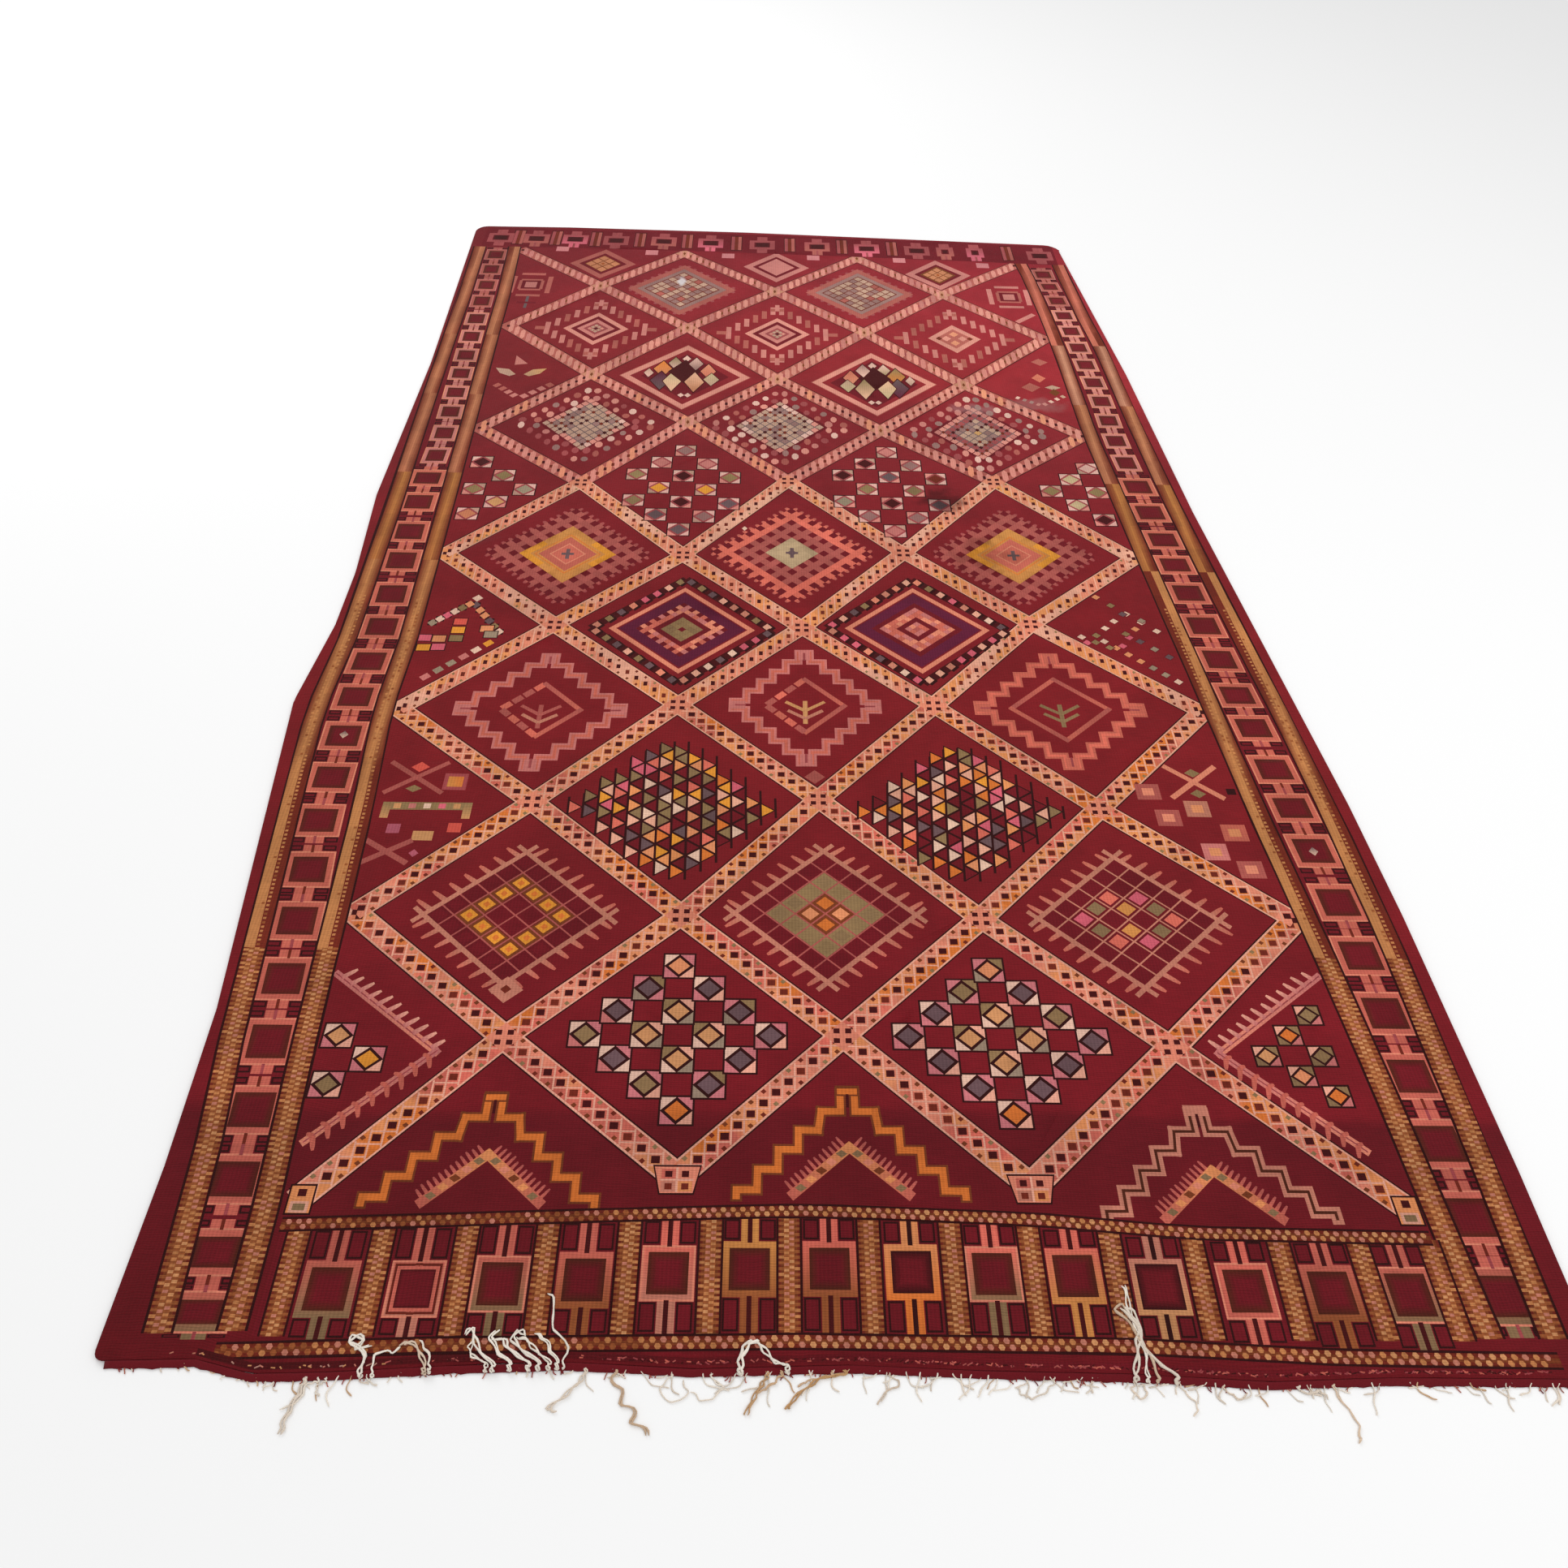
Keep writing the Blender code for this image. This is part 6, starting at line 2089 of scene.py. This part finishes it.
LOCKS = (
    Lock(((-0.590, -0.437), (-0.594, -0.462), (-0.601, -0.484), (-0.603, -0.502)), 0.0034, 0.8, plies=2),
    Lock(((-0.575, -0.437), (-0.586, -0.450), (-0.592, -0.468), (-0.609, -0.476)), 0.0022, 0.9),
    Lock(((-0.566, -0.437), (-0.574, -0.452), (-0.570, -0.463)), 0.0020, 0.9),
    Lock(((-0.262, -0.428), (-0.268, -0.446), (-0.284, -0.462), (-0.300, -0.474), (-0.292, -0.478)), 0.0030,
         0.75, plies=2),
    Lock(((-0.226, -0.428), (-0.230, -0.446), (-0.214, -0.456), (-0.218, -0.470), (-0.198, -0.476), (-0.205, -0.490),
          (-0.190, -0.492), (-0.184, -0.503)), 0.0030, 0.35, plies=2),
    Lock(((-0.160, -0.430), (-0.172, -0.452), (-0.158, -0.468), (-0.140, -0.458), (-0.146, -0.444)), 0.0018, 0.85),
    Lock(((-0.112, -0.431), (-0.098, -0.452), (-0.118, -0.466), (-0.136, -0.456)), 0.0018, 0.85),
    Lock(((-0.046, -0.430), (-0.052, -0.448), (-0.062, -0.464), (-0.071, -0.482)), 0.0030, 0.15, plies=2),
    Lock(((-0.030, -0.430), (-0.046, -0.452), (-0.060, -0.458)), 0.0026, 0.25),
    Lock(((0.046, -0.428), (0.022, -0.440), (0.000, -0.452), (-0.018, -0.468), (-0.022, -0.475)), 0.0030, 0.10,
         plies=2),
    Lock(((0.030, -0.428), (0.004, -0.444), (-0.010, -0.450)), 0.0022, 0.30),
    Lock(((0.100, -0.429), (0.112, -0.446), (0.092, -0.458), (0.084, -0.470)), 0.0018, 0.6),
    Lock(((0.296, -0.435), (0.288, -0.452), (0.270, -0.462), (0.256, -0.458), (0.250, -0.450)), 0.0018, 0.8),
    Lock(((0.392, -0.436), (0.388, -0.452), (0.396, -0.462), (0.405, -0.454), (0.399, -0.444)), 0.0020, 0.7),
    Lock(((0.446, -0.438), (0.452, -0.456), (0.462, -0.470), (0.456, -0.480)), 0.0018, 0.75),
    Lock(((0.498, -0.441), (0.504, -0.456), (0.516, -0.462), (0.524, -0.456)), 0.0020, 0.65),
    Lock(((0.588, -0.443), (0.600, -0.456), (0.612, -0.452), (0.618, -0.462)), 0.0026, 0.8, plies=2),
    Lock(((0.630, -0.441), (0.636, -0.466), (0.646, -0.484), (0.645, -0.500), (0.642, -0.508)), 0.0022, 0.5),
    Lock(((-0.526, -0.434), (-0.524, -0.420), (-0.534, -0.410), (-0.546, -0.404), (-0.540, -0.396), (-0.530, -0.402),
          (-0.536, -0.412), (-0.520, -0.408)), 0.0040, 1.0, True, 2),
    Lock(((-0.512, -0.434), (-0.514, -0.422), (-0.504, -0.414), (-0.492, -0.416), (-0.486, -0.410)), 0.0026, 1.0, True),
    Lock(((-0.452, -0.431), (-0.460, -0.416), (-0.474, -0.404), (-0.484, -0.408)), 0.0034, 0.55, True, 2),
    Lock(((-0.446, -0.431), (-0.452, -0.414), (-0.464, -0.402)), 0.0028, 0.9, True),
    Lock(((-0.372, -0.429), (-0.390, -0.414), (-0.398, -0.398), (-0.404, -0.388), (-0.410, -0.396)), 0.0036,
         1.0, True, 2),
    Lock(((-0.380, -0.429), (-0.396, -0.420), (-0.402, -0.410), (-0.398, -0.402)), 0.0028, 0.95, True, 2),
    Lock(((-0.352, -0.428), (-0.368, -0.414), (-0.378, -0.398), (-0.372, -0.390)), 0.0034, 1.0, True, 2),
    Lock(((-0.330, -0.427), (-0.352, -0.414), (-0.362, -0.402), (-0.374, -0.400)), 0.0034, 1.0, True, 2),
    Lock(((-0.318, -0.426), (-0.340, -0.412), (-0.352, -0.400), (-0.346, -0.390), (-0.338, -0.396)), 0.0036,
         1.0, True, 2),
    Lock(((-0.306, -0.426), (-0.322, -0.414), (-0.334, -0.402), (-0.346, -0.398)), 0.0032, 0.95, True, 2),
    Lock(((-0.296, -0.426), (-0.306, -0.412), (-0.314, -0.400), (-0.326, -0.394)), 0.0030, 1.0, True, 2),
    Lock(((-0.288, -0.425), (-0.286, -0.408), (-0.300, -0.392), (-0.308, -0.384), (-0.306, -0.366), (-0.311, -0.352),
          (-0.316, -0.346)), 0.0026, 1.0, True),
    Lock(((-0.078, -0.430), (-0.076, -0.416), (-0.069, -0.404), (-0.060, -0.402)), 0.0050, 1.0, True, 2),
    Lock(((-0.022, -0.430), (-0.034, -0.426), (-0.044, -0.418), (-0.054, -0.406), (-0.062, -0.402)), 0.0036,
         1.0, True, 2),
    Lock(((0.394, -0.436), (0.400, -0.416), (0.404, -0.400), (0.409, -0.384), (0.403, -0.366), (0.395, -0.360)),
         0.0042, 0.85, True, 2),
    Lock(((0.442, -0.438), (0.424, -0.424), (0.412, -0.410), (0.407, -0.390), (0.402, -0.372), (0.388, -0.362)),
         0.0040, 0.80, True),
    Lock(((0.408, -0.436), (0.410, -0.414), (0.406, -0.392), (0.400, -0.364), (0.402, -0.346), (0.398, -0.334)),
         0.0030, 1.0, True, 2),
    Lock(((0.420, -0.437), (0.416, -0.420), (0.409, -0.402), (0.398, -0.380), (0.384, -0.364), (0.390, -0.357),
          (0.397, -0.362)),
         0.0036, 0.45, True),
)


@dataclass
class Fringe:
    """The warp ends past the near edge: the frayed heading, the loose yarns on the floor and those folded back.

    Attributes:
        shift: Step from the plan to the row frame.
        stations: How many sections each yarn has.
        heading: Depth of the frayed heading.
        crown: Height of the cloth's top over the floor.
        dice: Draws the differences between yarns.
    """

    shift: Vector
    stations: int = 26
    heading: float = 0.009
    crown: float = 0.0058
    dice: random.Random = field(default_factory=lambda: random.Random(23))

    def edge(self, across: float) -> float:
        """How far along the cloth's near edge lies, on the plan."""
        return at(Outline.near, across)

    def tone(self, pale: float) -> tuple[float, float, float]:
        """A yarn's colour, from stained ochre to pale, bleached cotton."""
        ochre, white = Vector((0.50, 0.25, 0.075)), Vector((0.88, 0.80, 0.70))
        return tuple(ochre.lerp(white, pale) * self.dice.uniform(0.88, 1.06))

    def curl(self, across: float, reach: float, lean: float, wild: float, width: float) -> list[Vector]:
        """The middle line of a loose yarn that wanders over the floor.

        Args:
            across: Where it leaves the heading.
            reach: Its length past it.
            lean: The angle at which it leaves, in radians from straight out.
            wild: How much it winds.
            width: Its width.

        Returns:
            Its points, from inside the heading outwards.
        """
        start = self.edge(across) - self.heading * 0.45
        place, angle = Vector((across, start)), lean
        phase, bend, step = self.dice.uniform(0, 6.28), self.dice.uniform(-1, 1) * wild, reach / (self.stations - 1)
        points = []
        for n in range(self.stations):
            t = n / (self.stations - 1)
            lift = 0.0016 * max(0.0, 1 - t * 6) + width * 0.50
            points.append(Vector((place.x, place.y, lift)) + self.shift)
            angle += (bend * 1.8 + wild * 2.0 * math.sin(phase + t * 9.0)) / self.stations
            angle = max(-1.45, min(1.45, angle))
            place = place + Vector((math.sin(angle), -math.cos(angle))) * step
        return points

    def drawn(self, lock: Lock, spread: float) -> list[Vector]:
        """The middle line of one yarn of a lock, from the heading outwards.

        Args:
            lock: The lock.
            spread: How far to the side of its middle it lies.

        Returns:
            Its points.
        """
        first = lock.way[0]
        near = self.edge(first[0])
        top, floor = self.crown + lock.width * 0.40, lock.width * 0.50
        ahead = [Vector((first[0], near - self.heading * 0.45, 0.0022))]
        if lock.back:
            ahead = [Vector((first[0], near - self.heading * 0.35, 0.0018)), Vector((first[0], near - 0.0075, 0.0034)),
                     Vector((first[0], near - 0.0040, top))]
            ahead += [Vector((x, max(y, near + 0.001), top)) for x, y in lock.way]
        else:
            ahead += [Vector((x, min(y, near - 0.0095), floor)) for x, y in lock.way]
        ahead = [ahead[0] * 2 - ahead[1], *ahead, ahead[-1] * 2 - ahead[-2]]
        phase, points = self.dice.uniform(0, 6.28), []
        for n in range(self.stations):
            share = n / (self.stations - 1) * (len(ahead) - 3)
            k = min(int(share), len(ahead) - 4)
            a, b, c, d = ahead[k:k + 4]
            t = share - k
            spot = (b * 2 + (c - a) * t + (a * 2 - b * 5 + c * 4 - d) * t * t + (b * 3 - a - c * 3 + d) * t ** 3) / 2
            wave = 0.0015 * math.sin(phase + n * 1.1)
            spot += Vector((spread * (0.5 + n / self.stations) + wave, 0.0010 * math.cos(phase + n * 1.3), 0.0))
            spot.z = max(spot.z, lock.width * 0.50)
            points.append(spot + self.shift)
        return points

    def yarns(self) -> list[Yarn]:
        """Every loose yarn: the thin pale curls, the short red tufts and the locks."""
        made = []
        across = -0.828
        while across < 0.940:
            reach = at(FLOOR_REACH, across - 0.016) * self.dice.uniform(0.5, 1.15)
            if reach > 0.006 and self.dice.random() < (0.85 if 0.05 < across < 0.35 else 0.62):
                width = self.dice.uniform(0.0012, 0.0019)
                pale = 0.25 if self.dice.random() < 0.12 else self.dice.uniform(0.75, 1.0)
                made.append(Yarn(self.curl(across, reach, self.dice.uniform(-0.9, 0.5), 1.5, width), width,
                                 self.tone(pale)))
            across += self.dice.uniform(0.004, 0.013)
        for _ in range(150):
            spot = self.dice.uniform(-0.828, 0.945)
            red = Vector(self.dice.choice(((0.30, 0.045, 0.040), (0.20, 0.018, 0.020),
                                           (0.42, 0.13, 0.09)))) * self.dice.uniform(0.8, 1.2)
            made.append(Yarn(self.curl(spot, self.dice.uniform(0.006, 0.013), self.dice.uniform(-1.0, 1.0), 1.0,
                                       0.0014),
                             0.0015, tuple(red)))
        for lock in LOCKS:
            for ply in range(lock.plies):
                spread = (ply - (lock.plies - 1) / 2) * lock.width * 0.8
                width = lock.width * (0.72 if lock.plies > 1 else 1.0)
                made.append(Yarn(self.drawn(lock, spread), width, self.tone(lock.pale)))
        return made

    def build(self) -> bpy.types.Object:
        """Draws all the yarns out together, then the heading.

        Returns:
            The fringe.
        """
        form = bmesh.new()
        which = form.verts.layers.int.new("yarn")
        place = form.verts.layers.int.new("corner")
        yarns = self.yarns()
        sides = 6
        for number in range(len(yarns)):
            ring = bmesh.ops.create_circle(form, cap_ends=True, segments=sides, radius=0.001)["verts"]
            for corner, vert in enumerate(ring):
                vert[which], vert[place] = number, corner
        faces = list(form.faces)
        self.set_station(faces, yarns, 0, which, place)
        for index in range(1, self.stations):
            grown = bmesh.ops.extrude_discrete_faces(form, faces=faces)["faces"]
            faces = list(grown)
            self.set_station(faces, yarns, index, which, place)
        self.add_heading(form, which)
        bmesh.ops.recalc_face_normals(form, faces=form.faces)
        mesh = bpy.data.meshes.new("rug_fringe")
        form.to_mesh(mesh)
        form.free()
        owners = np.empty(len(mesh.vertices), dtype=np.int32)
        mesh.attributes["yarn"].data.foreach_get("value", owners)
        which_vert = np.empty(len(mesh.loops), dtype=np.int32)
        mesh.loops.foreach_get("vertex_index", which_vert)
        tones = np.array([(*y.dye, 1.0) for y in yarns] + [(*Dye.WINE.linear, 1.0)])
        layer = mesh.attributes.new("Dye", "FLOAT_COLOR", "CORNER")
        layer.data.foreach_set("color", tones[owners[which_vert]].astype(np.float32).ravel())
        for name in ("yarn", "corner"):
            mesh.attributes.remove(mesh.attributes[name])
        for polygon in mesh.polygons:
            polygon.use_smooth = True
        fringe = bpy.data.objects.new("rug_fringe", mesh)
        bpy.context.scene.collection.objects.link(fringe)
        return fringe

    def set_station(self, faces: Sequence[bmesh.types.BMFace], yarns: Sequence[Yarn], index: int, which: object,
                    place: object) -> None:
        """Moves the leading section of every yarn to one of its stations.

        Args:
            faces: The leading faces.
            yarns: The yarns.
            index: The station's number.
            which: The layer that holds a vertex's yarn.
            place: The layer that holds its place round the yarn.
        """
        for face in faces:
            for vert in face.verts:
                yarn = yarns[vert[which]]
                points = yarn.points
                ahead = (points[min(index + 1, len(points) - 1)] - points[max(index - 1, 0)]).normalized()
                side = ahead.cross(Vector((0, 0, 1)))
                side = side.normalized() if side.length > 1e-4 else Vector((1, 0, 0))
                rise = side.cross(ahead).normalized()
                gone = (points[index] - points[0]).length
                angle = 2 * math.pi * vert[place] / 6 + gone * yarn.twist
                lobe = yarn.width / 2 * (1.0 + 0.24 * math.cos(2 * (angle - gone * yarn.twist)))
                if index == len(points) - 1:
                    lobe *= 0.45
                vert.co = points[index] + side * math.cos(angle) * lobe + rise * math.sin(angle) * lobe * 0.86

    def add_heading(self, form: bmesh.types.BMesh, which: object) -> None:
        """Adds the frayed strip just past the cloth's edge.

        Args:
            form: The fringe so far.
            which: The layer that holds a vertex's yarn.
        """
        number = max(v[which] for v in form.verts) + 1
        before = set(form.verts)
        bmesh.ops.create_grid(form, x_segments=220, y_segments=3, size=0.5)
        fresh = [v for v in form.verts if v not in before]
        left, right = -0.829, 0.949
        for vert in fresh:
            vert[which] = number
            x = left + (right - left) * (vert.co.x + 0.5)
            u = vert.co.y + 0.5
            ragged = 0.0022 * noise.noise(Vector((x * 160, 3.0, 0.0)))
            y = self.edge(x) - 0.0003 - (1 - u) * (self.heading - 0.001 + ragged)
            z = 0.0012 + 0.0034 * u + 0.0004 * noise.noise(Vector((x * 300, u * 3, 0.0)))
            vert.co = Vector((x, y, z)) + self.shift
        faces = list({f for v in fresh for f in v.link_faces})
        bmesh.ops.solidify(form, geom=faces, thickness=0.0010)
        for vert in form.verts:
            if vert not in before:
                vert[which] = number


@dataclass(frozen=True)
class Studio:
    """The plain pale floor, the soft light and the standing camera.

    Attributes:
        lens: Focal length, in millimetres.
        spot: The camera's place.
        pitch: How far it looks down, in radians.
        yaw: How far it is turned to the right.
        roll: How far its head is tilted.
    """

    lens: float = 27.0
    spot: tuple[float, float, float] = (-0.0768, -1.9704, 1.5094)
    pitch: float = 0.834
    yaw: float = 0.027
    roll: float = 0.0328

    def build(self) -> bpy.types.Object:
        """Sets up the floor, the lights, the world and the camera, and returns the floor."""
        form = bmesh.new()
        bmesh.ops.create_grid(form, x_segments=1, y_segments=1, size=14)
        mesh = bpy.data.meshes.new("studio_floor")
        form.to_mesh(mesh)
        form.free()
        floor = bpy.data.objects.new("studio_floor", mesh)
        floor.location.z = -0.0005
        bpy.context.scene.collection.objects.link(floor)
        pale = bpy.data.materials.new("studio_floor")
        pale.use_nodes = True
        shader = pale.node_tree.nodes["Principled BSDF"]
        shader.inputs["Base Color"].default_value = (0.97, 0.97, 0.97, 1.0)
        shader.inputs["Roughness"].default_value = 0.9
        shader.inputs["Specular IOR Level"].default_value = 0.0
        mesh.materials.append(pale)
        world = bpy.data.worlds.new("studio")
        world.use_nodes = True
        world.node_tree.nodes["Background"].inputs[0].default_value = (1.0, 1.0, 1.0, 1.0)
        world.node_tree.nodes["Background"].inputs[1].default_value = 0.72
        bpy.context.scene.world = world
        for name, spot, size, power in (("window", (-2.6, 3.4, 3.6), 3.0, 90.0), ("fill", (2.4, -1.6, 3.4), 3.0, 38.0)):
            light = bpy.data.lights.new(name, "AREA")
            light.size, light.energy = size, power
            lamp = bpy.data.objects.new(name, light)
            lamp.location = spot
            lamp.rotation_euler = (Vector((0, 0, 0)) - Vector(spot)).to_track_quat("-Z", "Y").to_euler()
            bpy.context.scene.collection.objects.link(lamp)
        camera = bpy.data.cameras.new("camera")
        camera.lens, camera.sensor_width = self.lens, 36.0
        camera.clip_start, camera.clip_end = 0.01, 60.0
        viewer = bpy.data.objects.new("camera", camera)
        viewer.matrix_world = self.stance()
        bpy.context.scene.collection.objects.link(viewer)
        bpy.context.scene.camera = viewer
        bpy.context.scene.view_settings.view_transform = "Standard"
        return floor

    def stance(self) -> Matrix:
        """The camera's place and turn."""
        ahead = Vector((math.sin(self.yaw) * math.cos(self.pitch), math.cos(self.yaw) * math.cos(self.pitch),
                        -math.sin(self.pitch)))
        right = Vector((math.cos(self.yaw), -math.sin(self.yaw), 0.0))
        up = right.cross(ahead)
        tilted = right * math.cos(self.roll) + up * math.sin(self.roll)
        upper = up * math.cos(self.roll) - right * math.sin(self.roll)
        turn = Matrix((tilted, upper, -ahead)).transposed().to_4x4()
        return Matrix.Translation(self.spot) @ turn


def report(piece: bpy.types.Object) -> None:
    """Writes a piece's name and size to the log."""
    piece.data.calc_loop_triangles()
    LOG.info("%s: %d triangles, %s m", piece.name, len(piece.data.loop_triangles),
             " x ".join(f"{side:.3f}" for side in piece.dimensions))


def main() -> None:
    """Builds the rug's pieces in order and puts them on the frame."""
    logging.basicConfig(level=logging.INFO, format="%(name)s: %(message)s")
    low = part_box("rug")[0]
    outline = Outline().points()
    shift = Vector((low.x - min(p.x for p in outline), low.y - min(p.y for p in outline), 0.0))
    draft = Draft()
    Lattice().weave(draft)
    NearMotifs().weave(draft)
    FarMotifs().weave(draft)
    Borders().weave(draft)
    LOG.info("%d patches", len(draft.patches))
    cloth = Cloth(draft, shift).build()
    cloth.data.materials.append(WoollenWeave().make(-0.432))
    report(cloth)
    fringe = Fringe(shift).build()
    fringe.data.materials.append(LooseYarn().make())
    report(fringe)
    for piece, node, slot in ((cloth, "rug", "woven_wool"), (fringe, "fringe", "warp_yarn")):
        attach(piece, "root")
        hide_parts(node)
    Studio().build()
    bpy.context.view_layer.update()


if __name__ == "__main__":
    main()
